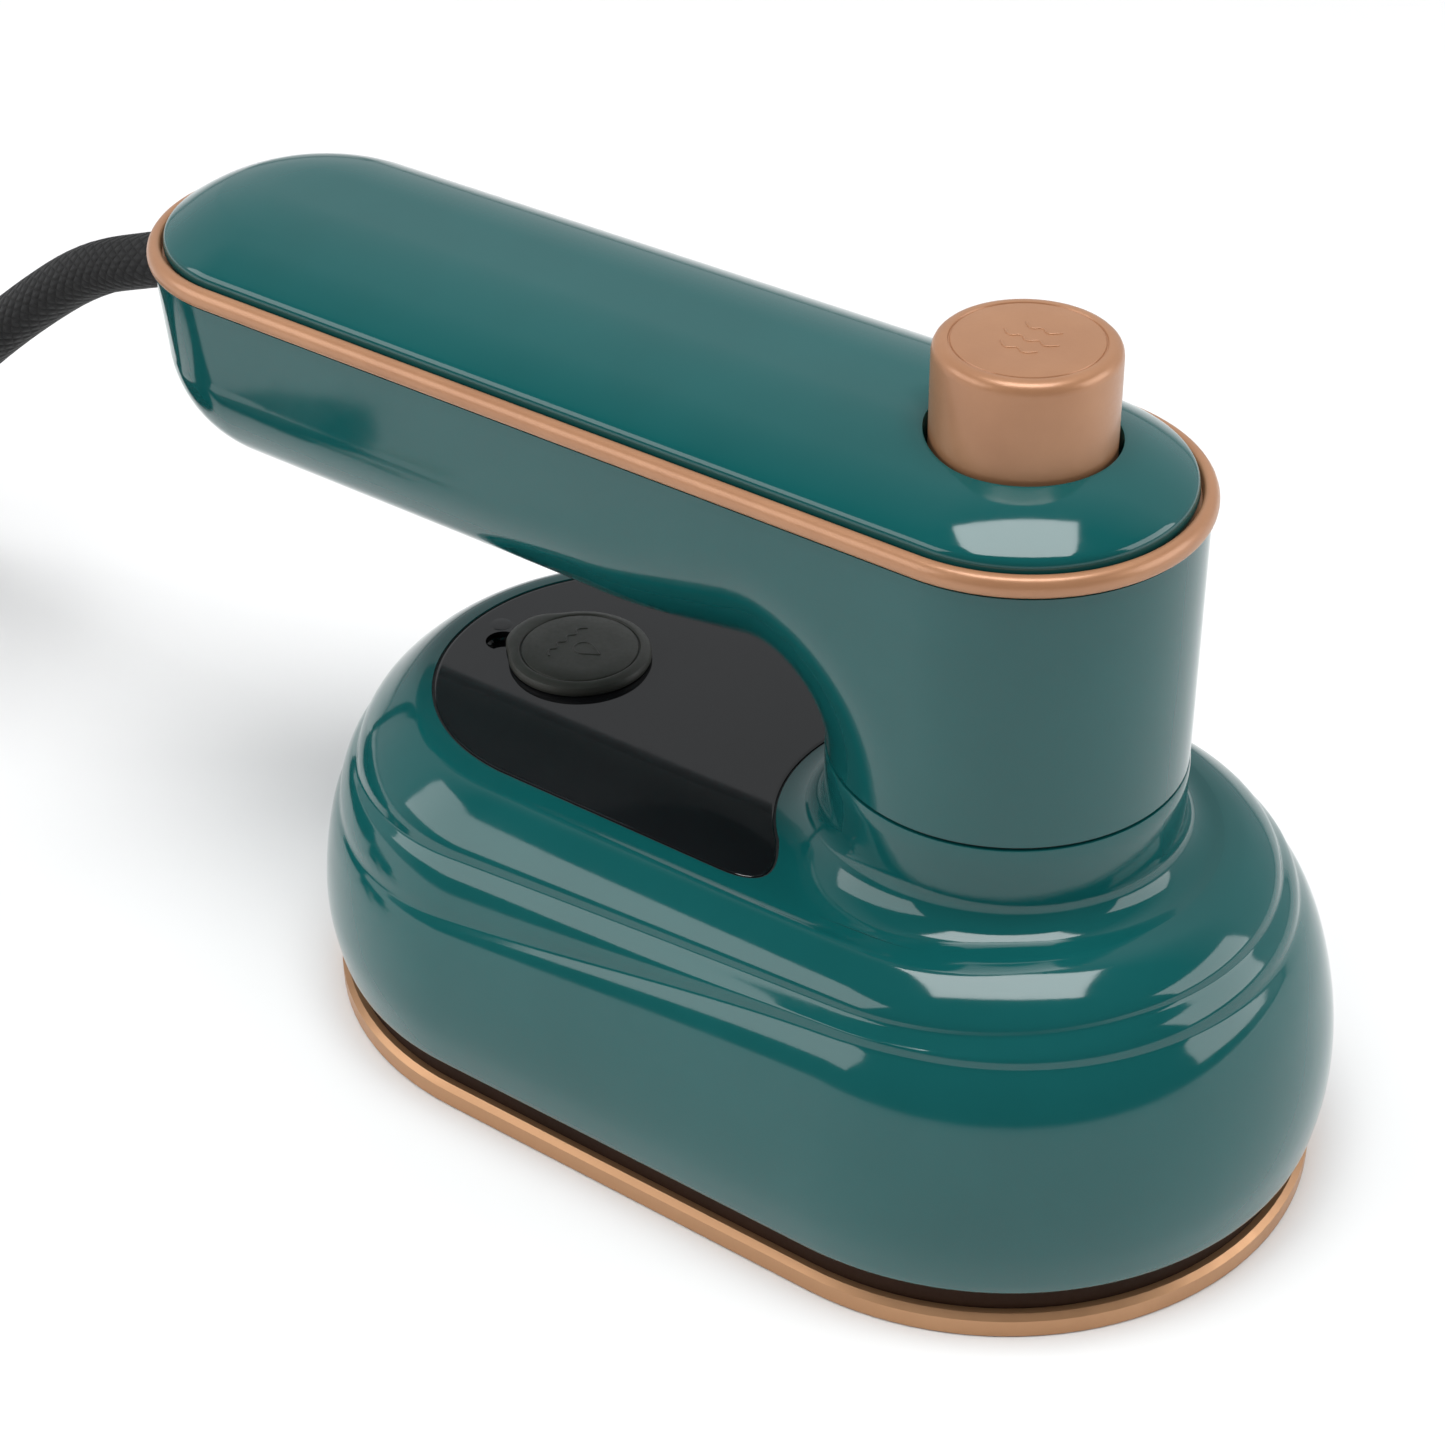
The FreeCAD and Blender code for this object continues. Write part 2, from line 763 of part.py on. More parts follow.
def water_tank():
    """An open tray that the window closes, with an outlet low in its front wall."""
    body = new_body("tank_tray")
    tall = "deck - window_thick - tank_floor"
    outline = new_sketch(body, "XY_Plane", ("0", "0", "tank_floor"))
    draw(outline, tray_plan("0"))
    pad(body, outline, tall)
    room = new_sketch(body, "XY_Plane", ("0", "0", "deck - window_thick"))
    draw(room, tray_plan("tank_wall"))
    pocket(body, room, tall + " - tank_wall")
    outlet = primitive("Cylinder", "tank_outlet", ("0 - tank_front - 3", "hose_side", "hose_height"),
                       Rotation(Vector(0, 1, 0), 90), Radius="hose_radius - 0.5", Height="5")
    return keep(cut("water_tank", body, [outlet]))


def tray_plan(margin):
    side = "tank_radius - " + margin
    front = "0 - tank_front - " + margin
    return [
        (front, negative(side)),
        (front, side),
        ("0 - base_reach", side),
        ("0 - base_reach", negative(side), side, 1),
    ]


def tank_window():
    """The smoked cover of the tank, with the filler port's short tube."""
    plate = window_plate("window_plate", "0", "deck - window_thick", "window_thick")
    tube = primitive("Cylinder", "port_tube", ("0 - port_x", "0", "deck - window_thick - port_depth"),
                     Radius="port_bore + port_wall", Height="port_depth + 1")
    bore = primitive("Cylinder", "port_hole", ("0 - port_x", "0", "deck - window_thick - 2*port_depth"),
                     Radius="port_bore", Height="4*port_depth")
    anchor = primitive("Cylinder", "anchor_hole", anchor_place(), Radius="anchor_radius", Height="5")
    return keep(cut("tank_window", fuse("window_with_tube", [plate, tube]), [bore, anchor]))


def anchor_place():
    return ("0 - stopper_hinge_x - anchor_back", "0", "deck - window_thick")


def filler_stopper():
    """A rubber disc with a shallow plug and the tongue that it hinges on."""
    low = "deck + stopper_lift"
    disc = primitive("Cylinder", "stopper_disc", ("0 - port_x", "0", low), Radius="stopper_radius",
                     Height="stopper_thick")
    plug = primitive("Cylinder", "stopper_plug", ("0 - port_x", "0", low + " - stopper_skirt_depth"),
                     Radius="stopper_skirt", Height="stopper_skirt_depth + 1")
    hollow = primitive("Cylinder", "stopper_hollow", ("0 - port_x", "0", low + " - stopper_skirt_depth"),
                       Radius="stopper_skirt - 1.5", Height="stopper_skirt_depth")
    tongue = primitive("Box", "stopper_tongue", ("0 - stopper_hinge_x", "0 - 3", low),
                       Length="tongue_length", Width="tongue_width", Height="0.6*stopper_thick")
    keep(cut("filler_stopper", fuse("stopper_solid", [disc, plug, tongue]), [hollow]))
    stem = primitive("Cylinder", "anchor_stem", anchor_place(), Radius="anchor_radius",
                     Height="window_thick + 1.5")
    across, _, _ = anchor_place()
    cap = primitive("Box", "anchor_cap", (across + " - cap_back", "0 - 0.5*tongue_width", "deck"),
                    Length="cap_back + cap_front", Width="tongue_width", Height="0.6*stopper_thick")
    keep(fuse("stopper_anchor", [stem, cap]))


# ---- Water and steam line -------------------------------------------------------------------


def water_line():
    """The suction hose, the delivery hose and the coupling that lets the pump turn above them."""
    below = spot("base_reach", "hose_side", "coupling_bottom")
    suction = [spot("0 - tank_front", "hose_side", "hose_height"),
               spot("base_reach", "hose_side", "hose_height"), below]
    free_piece("suction_hose", section_tube(suction, amount("hose_radius"), amount("hose_bend"))[0])
    keep(primitive("Cylinder", "delivery_hose",
                   ("base_reach", "0 - hose_side", "island_top + gasket_thick"),
                   Radius="hose_radius", Height="coupling_bottom - island_top - gasket_thick"))
    well = "valve_spigot + coupling_gap"
    keep(turned("rotary_coupling", [
        ("0", "coupling_bottom"),
        ("coupling_radius", "coupling_bottom"),
        ("coupling_radius", "coupling_bottom + 4"),
        ("valve_radius - 1", "coupling_top"),
        (well, "coupling_top"),
        (well, "coupling_bottom + 2.5"),
        ("0", "coupling_bottom + 2.5"),
    ]))


def pump():
    """The pump's cylinder, the valve body under it and the two check balls."""
    bored = turned("pump_turned", [
        ("pump_bore", "neck_floor + 2"),
        ("pump_bore", "pump_top"),
        ("pump_outer", "pump_top"),
        ("pump_outer", "neck_floor + 2"),
        ("pump_flange", "neck_floor + 2"),
        ("pump_flange", "neck_floor"),
        ("1.6", "neck_floor"),
        ("1.6", "neck_floor + 2"),
    ])
    lead_slots = pins("lead_slot", lead_spots(), "neck_floor - 1", "4", "lead_radius + 0.3")
    keep(cut("pump_cylinder", bored, lead_slots))
    keep(turned("valve_body", [
        ("1.6", "neck_floor"),
        ("valve_radius", "neck_floor"),
        ("valve_radius", "valve_bottom"),
        ("valve_spigot", "valve_bottom"),
        ("valve_spigot", "coupling_bottom + 2.6"),
        ("1.6", "coupling_bottom + 2.6"),
    ]))
    balls = [
        primitive("Sphere", "ball_%d" % number, ("base_reach", "0", height), Radius="ball_radius")
        for number, height in enumerate(("coupling_top", "neck_floor - 2"))
    ]
    keep(fuse("check_balls", balls))


def lead_spots():
    return [("lead_x", "0 - lead_near"), ("lead_x", "0 - lead_far")]


def leads():
    """Two mains leads: down the neck on the handle's side, and on to the heater in the base."""
    upper = []
    lower = []
    ends = ("0 - thermostat_x + thermostat_radius", "0 - fuse_end")
    for (across, side), end in zip(lead_spots(), ends):
        top = [spot("block_length - block_back", side, "lead_high"), spot(across, side, "lead_high"),
               spot(across, side, "lead_join")]
        low = [spot(across, side, "lead_join"), spot(across, side, "lead_low"),
               spot(end, side, "lead_low")]
        upper.append(section_tube(top, amount("lead_radius"), amount("lead_bend"))[0])
        lower.append(section_tube(low, amount("lead_radius"), amount("lead_bend"))[0])
    free_piece("handle_leads", Part.makeCompound(upper))
    free_piece("base_leads", Part.makeCompound(lower))


# ---- Neck and handle ------------------------------------------------------------------------


def handle_form(label, margin):
    """The handle's outer form, or its hollow when a wall is taken off."""
    under = "under + " + margin
    return stadium_solid(label, [
        ("0", "trim_bottom"),
        ("0", under),
        ("under_flat", under),
        ("handle_waist - " + margin, "under + under_curve", "under_curve - " + margin, 1),
        ("handle_radius - " + margin, "trim_bottom"),
    ], back="0 - handle_back")


def handle_lower():
    """The handle's lower casing: a long trough, the neck and the spigot that turns in the collar."""
    outer = handle_form("trough_form", "0")
    neck = turned("neck_form", [
        ("0", "spigot_bottom"),
        ("spigot_radius", "spigot_bottom"),
        ("spigot_radius", "neck_bottom"),
        ("handle_radius", "neck_bottom"),
        ("handle_radius", "trim_bottom"),
        ("0", "trim_bottom"),
    ])
    inner = handle_form("trough_hollow", "handle_wall")
    bore = turned("neck_hollow", [
        ("0", "spigot_bottom - 1"),
        ("spigot_bore", "spigot_bottom - 1"),
        ("spigot_bore", "neck_floor"),
        ("handle_radius - handle_wall", "neck_floor"),
        ("handle_radius - handle_wall", "trim_bottom + 1"),
        ("0", "trim_bottom + 1"),
    ])
    exit_hole = primitive("Cylinder", "cord_exit_hole", along_cord(-8), cord_turn(),
                          Radius="gland_neck + 0.05", Height="20")
    hollowed = cut("casing_hollowed", fuse("casing_solid", [outer, neck]), [inner, bore, exit_hole])
    posts = pins("case_post", case_screw_spots(), "under + 1", "trim_bottom - under - 1 - cover_lip",
                 "post_radius")
    tools = pins("case_head_hole", case_screw_spots(), "under - 1", "3.2", "case_screw_head + 0.2")
    tools += pins("case_shank_hole", case_screw_spots(), "under", "30", "case_screw_radius")
    tools += pins("ring_thread", ring_screw_spots(), "spigot_bottom - 1", "7", "screw_radius")
    return keep(cut("handle_lower", fuse("casing_posts", [hollowed] + posts), tools))


def cord_turn():
    """Turns +Z into the direction in which the cord leaves: back and a little down."""
    return Rotation(Vector(0, 1, 0), -90 - amount("exit_tilt"))


def along_cord(distance):
    """The place at a distance from the exit along the cord's axis, outward if positive."""
    slope = "*%s" % distance
    return (
        "0 - exit_x - exit_cosine" + slope,
        "0",
        "exit_height - exit_sine" + slope,
    )


def case_screw_spots():
    return [("0 - case_screw_front", "0"), ("0 - case_screw_back", "0")]


def ring_screw_spots():
    return [("base_reach + ring_screw_line", "0"),
            ("base_reach - 0.5*ring_screw_line", "0.866*ring_screw_line"),
            ("base_reach - 0.5*ring_screw_line", "0 - 0.866*ring_screw_line")]


def swivel():
    """The washer under the neck, and the ring that is screwed to the spigot under the ledge."""
    keep(turned("swivel_washer", [
        ("spigot_radius + 0.4", "collar_top"),
        ("collar_radius - 0.5", "collar_top"),
        ("collar_radius - 0.5", "collar_top + washer_thick"),
        ("spigot_radius + 0.4", "collar_top + washer_thick"),
    ]))
    ring = turned("ring_blank", [
        ("spigot_bore - 0.5", "spigot_bottom - ring_thick"),
        ("ring_radius", "spigot_bottom - ring_thick"),
        ("ring_radius", "spigot_bottom"),
        ("spigot_bore - 0.5", "spigot_bottom"),
    ])
    holes = pins("ring_hole", ring_screw_spots(), "spigot_bottom - ring_thick - 1", "6", "screw_radius")
    keep(cut("swivel_ring", ring, holes))
    head_low = "spigot_bottom - ring_thick - screw_head_tall"
    screws("ring_screws", ring_screw_spots(), head_low, head_low, "screw_head_tall + ring_thick + 5")


def trim_band():
    """The rose-gold band clamped between the casing and the cover."""
    ends = {"back": "0 - handle_back"}
    face = "handle_radius + trim_bulge"
    outer = stadium_solid("trim_form", [
        ("0", "trim_top"),
        ("0", "trim_bottom"),
        ("handle_radius", "trim_bottom"),
        (face, "trim_bottom + 0.6", "0.9", 1),
        (face, "trim_bottom + 1.2"),
        ("handle_radius - trim_inset", "trim_top", "2.2", 1),
    ], **ends)
    hole = flat_stadium("trim_hole", "handle_radius - trim_hold", "trim_bottom - 1",
                        "trim_top - trim_bottom + 2", **ends)
    return keep(cut("trim_band", outer, [hole]))


def handle_cover():
    """The crowned upper casing, with a lip inside the band and the button's hole."""
    lip = "handle_radius - trim_hold"
    outer = stadium_solid("cover_form", [
        ("0", "cover_top"),
        ("0", "trim_bottom - cover_lip"),
        (lip, "trim_bottom - cover_lip"),
        (lip, "trim_top"),
        ("cover_edge", "trim_top"),
        ("cover_shoulder", "cover_shoulder_height", "cover_curve", 1),
        ("cover_flat", "cover_top", "crown_curve", 1),
    ], back="0 - handle_back")
    inner = stadium_solid("cover_hollow", [
        ("0", "cover_top - 1.8"),
        ("0", "trim_bottom - 2*cover_lip"),
        (lip + " - 1.5", "trim_bottom - 2*cover_lip"),
        (lip + " - 1.5", "trim_top"),
        ("cover_shoulder - 2", "cover_top - 2.6"),
        ("cover_flat", "cover_top - 1.8"),
    ], back="0 - handle_back")
    hole = primitive("Cylinder", "button_hole", ("base_reach", "0", "trim_top - 8"),
                     Radius="cover_hole", Height="drill_long")
    bridge = primitive("Box", "lip_relief",
                       ("base_reach - lip_reach", "0 - cut_room", "trim_bottom - 2*cover_lip"),
                       Length="2*cut_room", Width="2*cut_room", Height="2*cover_lip")
    gland_room = primitive("Box", "gland_relief",
                           ("0 - exit_x - 2", "0 - gland_side", "trim_bottom - 2*cover_lip"),
                           Length="gland_room", Width="2*gland_side", Height="2*cover_lip + 1")
    shell = cut("cover_shell", outer, [inner, hole, bridge, gland_room])
    posts = pins("cover_post", case_screw_spots(), "trim_bottom - cover_lip",
                 "cover_top - 1 - trim_bottom + cover_lip", "post_radius - 0.4")
    threads = pins("cover_thread", case_screw_spots(), "trim_bottom - cover_lip - 1", "7",
                   "case_screw_radius")
    keep(cut("handle_cover", fuse("cover_posts", [shell] + posts), threads))
    screws("handle_screws", case_screw_spots(), "under + 1.1", "under + 2",
           "trim_bottom - under + 2", "case_screw_radius", "case_screw_head")


# ---- Button, piston and spring --------------------------------------------------------------


def steam_button():
    """The rose-gold push cap with a groove round its top."""
    body = new_body("button_cap")
    profile = new_sketch(body, "XZ_Plane", ("base_reach", "0", "0"))
    inside = "button_radius - button_wall"
    draw(profile, [
        ("0", "button_top - button_roof"),
        (inside, "button_top - button_roof"),
        (inside, "button_bottom"),
        ("button_flange", "button_bottom"),
        ("button_flange", "button_bottom + flange_thick"),
        ("button_radius", "button_bottom + flange_thick"),
        ("button_radius", "button_top - button_edge"),
        ("button_radius - button_edge", "button_top", "button_edge", 1),
        ("groove_radius + groove_width", "button_top"),
        ("groove_radius", "button_top - groove_depth"),
        ("groove_radius - groove_width", "button_top"),
        ("0", "button_top"),
    ])
    revolve(body, profile)
    body.Label = "steam_button"
    return keep(body)


def piston():
    """The rod under the button, its piston and the piston's seal."""
    low = "piston_bottom"
    high = "piston_bottom + piston_length"
    keep(turned("piston_rod", [
        ("0", low),
        ("piston_radius", low),
        ("piston_radius", "seal_height - 0.9"),
        ("piston_radius - 1.1", "seal_height - 0.9"),
        ("piston_radius - 1.1", "seal_height + 0.9"),
        ("piston_radius", "seal_height + 0.9"),
        ("piston_radius", high),
        ("rod_radius", high),
        ("rod_radius", "button_top - button_roof"),
        ("0", "button_top - button_roof"),
    ]))
    keep(primitive("Torus", "piston_seal", ("base_reach", "0", "seal_height"),
                   Radius1="piston_radius - 0.5", Radius2="0.57"))


def return_spring():
    """The coil spring between the pump's top and the button's roof."""
    wire = amount("spring_wire")
    low = amount("pump_top") + wire
    tall = amount("button_top - button_roof") - wire - low
    helix = Part.makeHelix(tall / amount("spring_turns"), tall, amount("spring_radius"))
    ring = Part.Wire(Part.Circle(Vector(amount("spring_radius"), 0, 0), Vector(0, 1, 0), wire).toShape())
    coil = Part.Wire(helix).makePipeShell([ring], True, True)
    return free_piece("return_spring", coil, Vector(amount("base_reach"), 0, low))


# ---- Mains connection in the handle ---------------------------------------------------------


def mains_connection():
    """The terminal block, the cord's held end, its clamp and the gland at the back wall."""
    middle = "0 - 0.5*lead_near - 0.5*lead_far"
    block = primitive("Box", "block_blank",
                      ("0 - block_back", middle + " - 0.5*block_width", "lead_high - 0.5*block_tall"),
                      Length="block_length", Width="block_width", Height="block_tall")
    wells = [("0 - block_back + 3", side) for _, side in lead_spots()]
    wells += [("0 - block_back + block_length - 3", side) for _, side in lead_spots()]
    holes = pins("block_well", wells, "lead_high", "block_tall", "screw_radius + 0.3")
    keep(cut("terminal_block", block, holes))
    caps = pins("terminal_screw", wells, "lead_high", "terminal_tall", "screw_radius + 0.3")
    keep(fuse("terminal_screws", caps))
    keep(primitive("Cylinder", "cord_end", along_cord(-15), cord_turn(), Radius="cord_radius",
                   Height="15 - gland_inside"))
    saddle = primitive("Box", "clamp_blank",
                       ("0 - exit_x + clamp_back", "0 - 0.5*clamp_width", "exit_height - clamp_length"),
                       Length="clamp_length", Width="clamp_width", Height="2*clamp_length")
    seat = primitive("Cylinder", "clamp_seat", along_cord(-20), cord_turn(), Radius="cord_radius",
                     Height="drill_long")
    across = "0 - exit_x + clamp_back + 0.5*clamp_length"
    spots = [(across, "clamp_screw_side"), (across, "0 - clamp_screw_side")]
    shanks = pins("clamp_hole", spots, "exit_height - clamp_length - 1", "drill_long", "screw_radius")
    keep(cut("cord_clamp", saddle, [seat] + shanks))
    under = "exit_height - clamp_length - screw_head_tall"
    screws("clamp_screws", spots, under, under, "screw_head_tall + 2*clamp_length")
    gland = new_body("cord_gland")
    profile = new_sketch(gland, "XZ_Plane")
    inside = "0 - gland_inside"
    draw(profile, [
        ("0", inside),
        ("gland_flange", inside),
        ("gland_flange", "2 - gland_inside"),
        ("gland_neck", "2 - gland_inside"),
        ("gland_neck", "1"),
        ("gland_flange", "1"),
        ("gland_flange - 0.4", "3"),
        ("gland_tip", "gland_length"),
        ("0", "gland_length"),
    ])
    revolve(gland, profile)
    gland.Placement = Placement(Vector(), cord_turn())
    gland.setExpression("Placement.Base.x", bound("0 - exit_x"))
    gland.setExpression("Placement.Base.z", bound("exit_height"))
    keep(gland)


# ---- Cord, coil and plug --------------------------------------------------------------------

# The cord's route from the gland's tip, back and down onto the top of its coil.
CORD_ROUTE = (
    (-108.39, 0.0, 79.71),
    (-120.55, 0.0, 75.11),
    (-136.0, 0.0, 63.9),
    (-153.0, 1.6, 49.9),
    (-169.0, 5.0, 34.6),
    (-185.0, 9.0, 23.6),
    (-200.0, 11.3, 18.8),
)


def power_cord():
    """The uncoiled stretch of the cord, from the gland to its coil."""
    points = [Vector(*point) for point in CORD_ROUTE]
    solid, radii, length = section_tube(points, amount("cord_radius"))
    print("cord: length %.1f, arc radii %s" % (length, [round(radius, 1) for radius in radii]))
    free_piece("power_cord", solid)


def cord_coil():
    """The wound rest of the cord as one ring, the tie round it and the short tail to the plug."""
    inner = "coil_inner"
    edge = "coil_edge"
    body = new_body("cord_coil")
    profile = new_sketch(body, "XZ_Plane", ("0 - coil_x", "0", "coil_y"))
    draw(profile, [
        (inner + " + coil_edge", "0"),
        ("coil_outer - coil_edge", "0"),
        ("coil_outer", edge, edge, 1),
        ("coil_outer", "coil_tall - coil_edge"),
        ("coil_outer - coil_edge", "coil_tall", edge, 1),
        (inner + " + coil_edge", "coil_tall"),
        (inner, "coil_tall - coil_edge", edge, 1),
        (inner, edge),
        (inner + " + coil_edge", "0", edge, 1),
    ][1:])
    revolve(body, profile)
    keep(body)
    width = "coil_outer - coil_inner"
    low_x = "0 - coil_x - coil_outer - tie_thick"
    outside = primitive("Box", "tie_outside", (low_x, "0 - coil_y - 0.5*tie_width", "0"),
                        Length=width + " + 2*tie_thick", Width="tie_width", Height="coil_tall + tie_thick")
    room = primitive("Box", "tie_room", (low_x + " + tie_thick - 0.05", "0 - coil_y - tie_width", "0 - 1"),
                     Length=width + " + 0.1", Width="2*tie_width", Height="coil_tall + 1.05")
    keep(cut("coil_tie", outside, [room]))
    tail = [spot("tail_start - coil_x", "0 - coil_y - coil_line", "0.5*coil_tall - 0.3"),
            spot("tail_end - coil_x", "0 - coil_y - coil_line", "plug_height")]
    free_piece("cord_tail", section_tube(tail, amount("cord_radius"))[0])


def plug():
    """A flat two-pin plug that lies beside the coil."""
    body = new_body("plug_body")
    plug_floor = "plug_height - 0.5*plug_thick"
    outline = new_sketch(body, "XY_Plane", ("tail_end - coil_x", "0 - coil_y - coil_line", plug_floor))
    draw(outline, [
        ("0", "0 - 0.5*plug_back_width"),
        ("0.55*plug_length", "0 - 0.5*plug_width"),
        ("plug_length", "0 - 0.5*plug_width"),
        ("plug_length", "0.5*plug_width"),
        ("0.55*plug_length", "0.5*plug_width"),
        ("0", "0.5*plug_back_width"),
    ])
    slab = pad(body, outline, "plug_thick")
    doc.recompute()
    rounded = body.newObject("PartDesign::Fillet", "plug_rounded")
    upright = []
    for number, edge in enumerate(slab.Shape.Edges, start=1):
        if abs(edge.Vertexes[0].Z - edge.Vertexes[-1].Z) > 1:
            upright.append("Edge%d" % number)
    rounded.Base = (slab, upright)
    rounded.setExpression("Radius", bound("plug_edge"))
    keep(body)
    start = "tail_end - coil_x + plug_length"
    prongs = [
        primitive("Cylinder", "prong_%d" % number, (start, "0 - coil_y - coil_line " + side, "plug_height"),
                  Rotation(Vector(0, 1, 0), 90), Radius="pin_radius", Height="pin_length")
        for number, side in enumerate(("+ pin_side", "- pin_side"))
    ]
    keep(fuse("plug_pins", prongs))


# ---- Build, check and write -----------------------------------------------------------------


def check_document():
    """Stops if any object failed, or if a sub-part's shape is null or not valid."""
    for thing in doc.Objects:
        if {"Invalid", "Error"} & set(thing.State):
            raise RuntimeError("%s is %s" % (thing.Label, thing.State))
    for piece in subparts:
        if piece.Shape.isNull() or not piece.Shape.isValid() or not piece.Shape.Solids:
            raise RuntimeError(piece.Label + " has no valid solid")


def write_parts():
    os.makedirs("parts", exist_ok=True)
    for piece in subparts:
        piece.Shape.exportStep(os.path.join("parts", piece.Label + ".step"))
    print("%d sub-parts written" % len(subparts))


fill_sheet()
soleplate()
heating_element()
steam_chamber()
temperature_controls()
insulating_skirt()
base_shell()
water_tank()
tank_window()
filler_stopper()
water_line()
pump()
leads()
handle_lower()
swivel()
trim_band()
handle_cover()
steam_button()
piston()
return_spring()
mains_connection()
power_cord()
cord_coil()
plug()
doc.recompute()
check_document()
write_parts()
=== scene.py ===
"""A small travel steam iron with a swivelling handle: the visual model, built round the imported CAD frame.

Lengths in this file are millimetres and are turned into metres where a mesh or a curve is made.
The soleplate stands on z = 0, the handle's back end points to -x and the swivelling neck stands at +x.
"""
import math

import bmesh
import bpy
import numpy as np
from mathutils import Matrix, Vector


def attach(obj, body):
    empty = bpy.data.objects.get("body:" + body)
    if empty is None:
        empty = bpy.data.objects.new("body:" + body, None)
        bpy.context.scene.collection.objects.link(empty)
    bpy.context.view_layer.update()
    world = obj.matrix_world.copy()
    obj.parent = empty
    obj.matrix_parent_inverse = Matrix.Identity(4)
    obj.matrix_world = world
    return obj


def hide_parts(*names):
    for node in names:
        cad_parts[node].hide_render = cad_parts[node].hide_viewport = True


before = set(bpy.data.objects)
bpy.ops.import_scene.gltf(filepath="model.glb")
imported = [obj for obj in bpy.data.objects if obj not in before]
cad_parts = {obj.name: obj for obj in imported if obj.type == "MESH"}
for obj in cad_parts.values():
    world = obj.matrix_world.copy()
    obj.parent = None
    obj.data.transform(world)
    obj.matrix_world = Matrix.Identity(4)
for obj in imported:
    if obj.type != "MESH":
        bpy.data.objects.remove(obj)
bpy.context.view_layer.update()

MM = 0.001

# The base: a stadium whose two end circles have their centres at +-BASE_END
BASE_END = 28.0
DOME_RADIUS = 40.0
DECK_UNDERSIDE = 41.2
# The neck's upright axis, which the handle swivels about
NECK_X = 28.0
NECK_AXIS = np.array([NECK_X, 0.0])
COLLAR_RADIUS = 21.4
COLLAR_BORE = 18.5
COLLAR_TOP = 57.0
# The handle: a stadium from the neck to the back end
HANDLE_BACK = -77.25
HANDLE_TAPER = 0.5
HANDLE_HALF_WIDTH = 20.5
HANDLE_FLARE = 0.8
NECK_RADIUS = 21.3
NECK_BOTTOM = 57.4
NECK_FILLET = 7.0
HANDLE_SPLIT = 90.3
HANDLE_UNDERSIDE = 64.0
HANDLE_SIDE = 79.3
HANDLE_ROUND = 15.3
# Where along x the sides flare towards the neck, and where the round edge widens into it
FLARE_RUN = (-30.0, 4.0)
EDGE_RUN = (-20.0, 6.0)
BUTTON_HOLE = 11.0
# The handle cover's crown: an arc that starts this far from the middle line
CROWN_TOP = 99.2
CROWN_FLAT = 4.0
CROWN_ARC = 26.0
# The smoked window: a round back, straight sides and a hollow front round the collar
WINDOW_RADIUS = 25.4
WINDOW_CORNER_X = 13.0
HOLLOW_X = 23.6
HOLLOW_RADIUS = 23.8
HOLLOW_HALF_WIDTH = 17.0
WINDOW_BOTTOM = 41.6
WINDOW_TOP = 43.62
WINDOW_GAP = 0.28
# The filler port, its stopper, the root that the stopper hangs from and the finger notch beside them
PORT_X = -36.5
PORT_RADIUS = 7.0
STOPPER_RADIUS = 9.3
STOPPER_LIP = 1.15
STOPPER_BOTTOM = 41.75
STOPPER_TOP = 45.26
ROOT_PLACE = (-49.8, 0.0, 0.0)
NOTCH_PLACE = (-47.2, -2.9, 0.0)
# The cord: its way out of the handle, down to the floor, round the coil and to the plug
CORD_RADIUS = 3.75
CORD_EXIT = (-98.1, 0.0, 83.6)
CORD_HEADING = (-0.93544, 0.0, -0.35347)
CORD_ROUTE = [
    (-108.39, 0.0, 79.71),
    (-120.55, 0.0, 75.11),
    (-136.0, 0.0, 63.9),
    (-153.0, 1.6, 49.9),
    (-169.0, 5.0, 34.6),
    (-185.0, 9.0, 23.6),
    (-200.0, 11.3, 18.8),
]
COIL_CENTRE = (-204.0, -32.0)
COIL_INNER_TURN = 36.25
COIL_OUTER_TURN = 43.75
COIL_LAYERS = (3.75, 11.25, 18.75)
COIL_TURNS = 6.5
PLUG_BACK = -164.0
PLUG_Y = -75.75
PLUG_Z = 7.2

# An edge stays sharp when its faces meet at more than this many degrees
CREASE = 32.0
SHELL_CREASE = 40.0
CAD_CREASE = 30.0

# The camera at the photograph's viewing angle: its place in metres, and its turn, rise and roll in degrees
CAMERA_PLACE = (0.18294, -0.26300, 0.27227)
CAMERA_TURN = 36.775
CAMERA_RISE = 34.969
CAMERA_ROLL = -0.600
CAMERA_LENS = 79.07
CAMERA_SENSOR = 36.0
# Each soft box: its place, width and height in metres, and its power in watts
SOFT_BOXES = {
    "left_box": ((-0.86, -0.97, 0.62), 1.35, 0.70, 8.5),
    "right_box": ((1.15, 0.62, 0.50), 0.95, 0.74, 7.0),
    "top_box": ((0.13, -0.17, 1.45), 1.05, 0.72, 19.0),
}
SOFT_BOX_AIM = (0.0, 0.0, 0.05)
# The room that the surfaces reflect: the way to its bright side, and its shades; and the backdrop in view
ROOM_WAY = (-0.55, 0.80, -0.25)
ROOM_DARK = (0.10, 0.10, 0.10)
ROOM_BRIGHT = (0.78, 0.80, 0.82)
ROOM_STRENGTH = 0.72
BACKDROP = (0.93, 0.94, 0.95)
# The floor in metres: half its side, and how far it lies below the soleplate
FLOOR_HALF = 12.0
FLOOR_DROP = 0.0002


# ---------------------------------------------------------------- shaders

# How a pattern is stretched: not at all, or into lines along x
EVEN = (1.0, 1.0, 1.0)
ALONG_X = (0.04, 1.0, 1.0)
NOISE_ROUGHNESS = 0.55
COAT_ROUGHNESS = 0.03


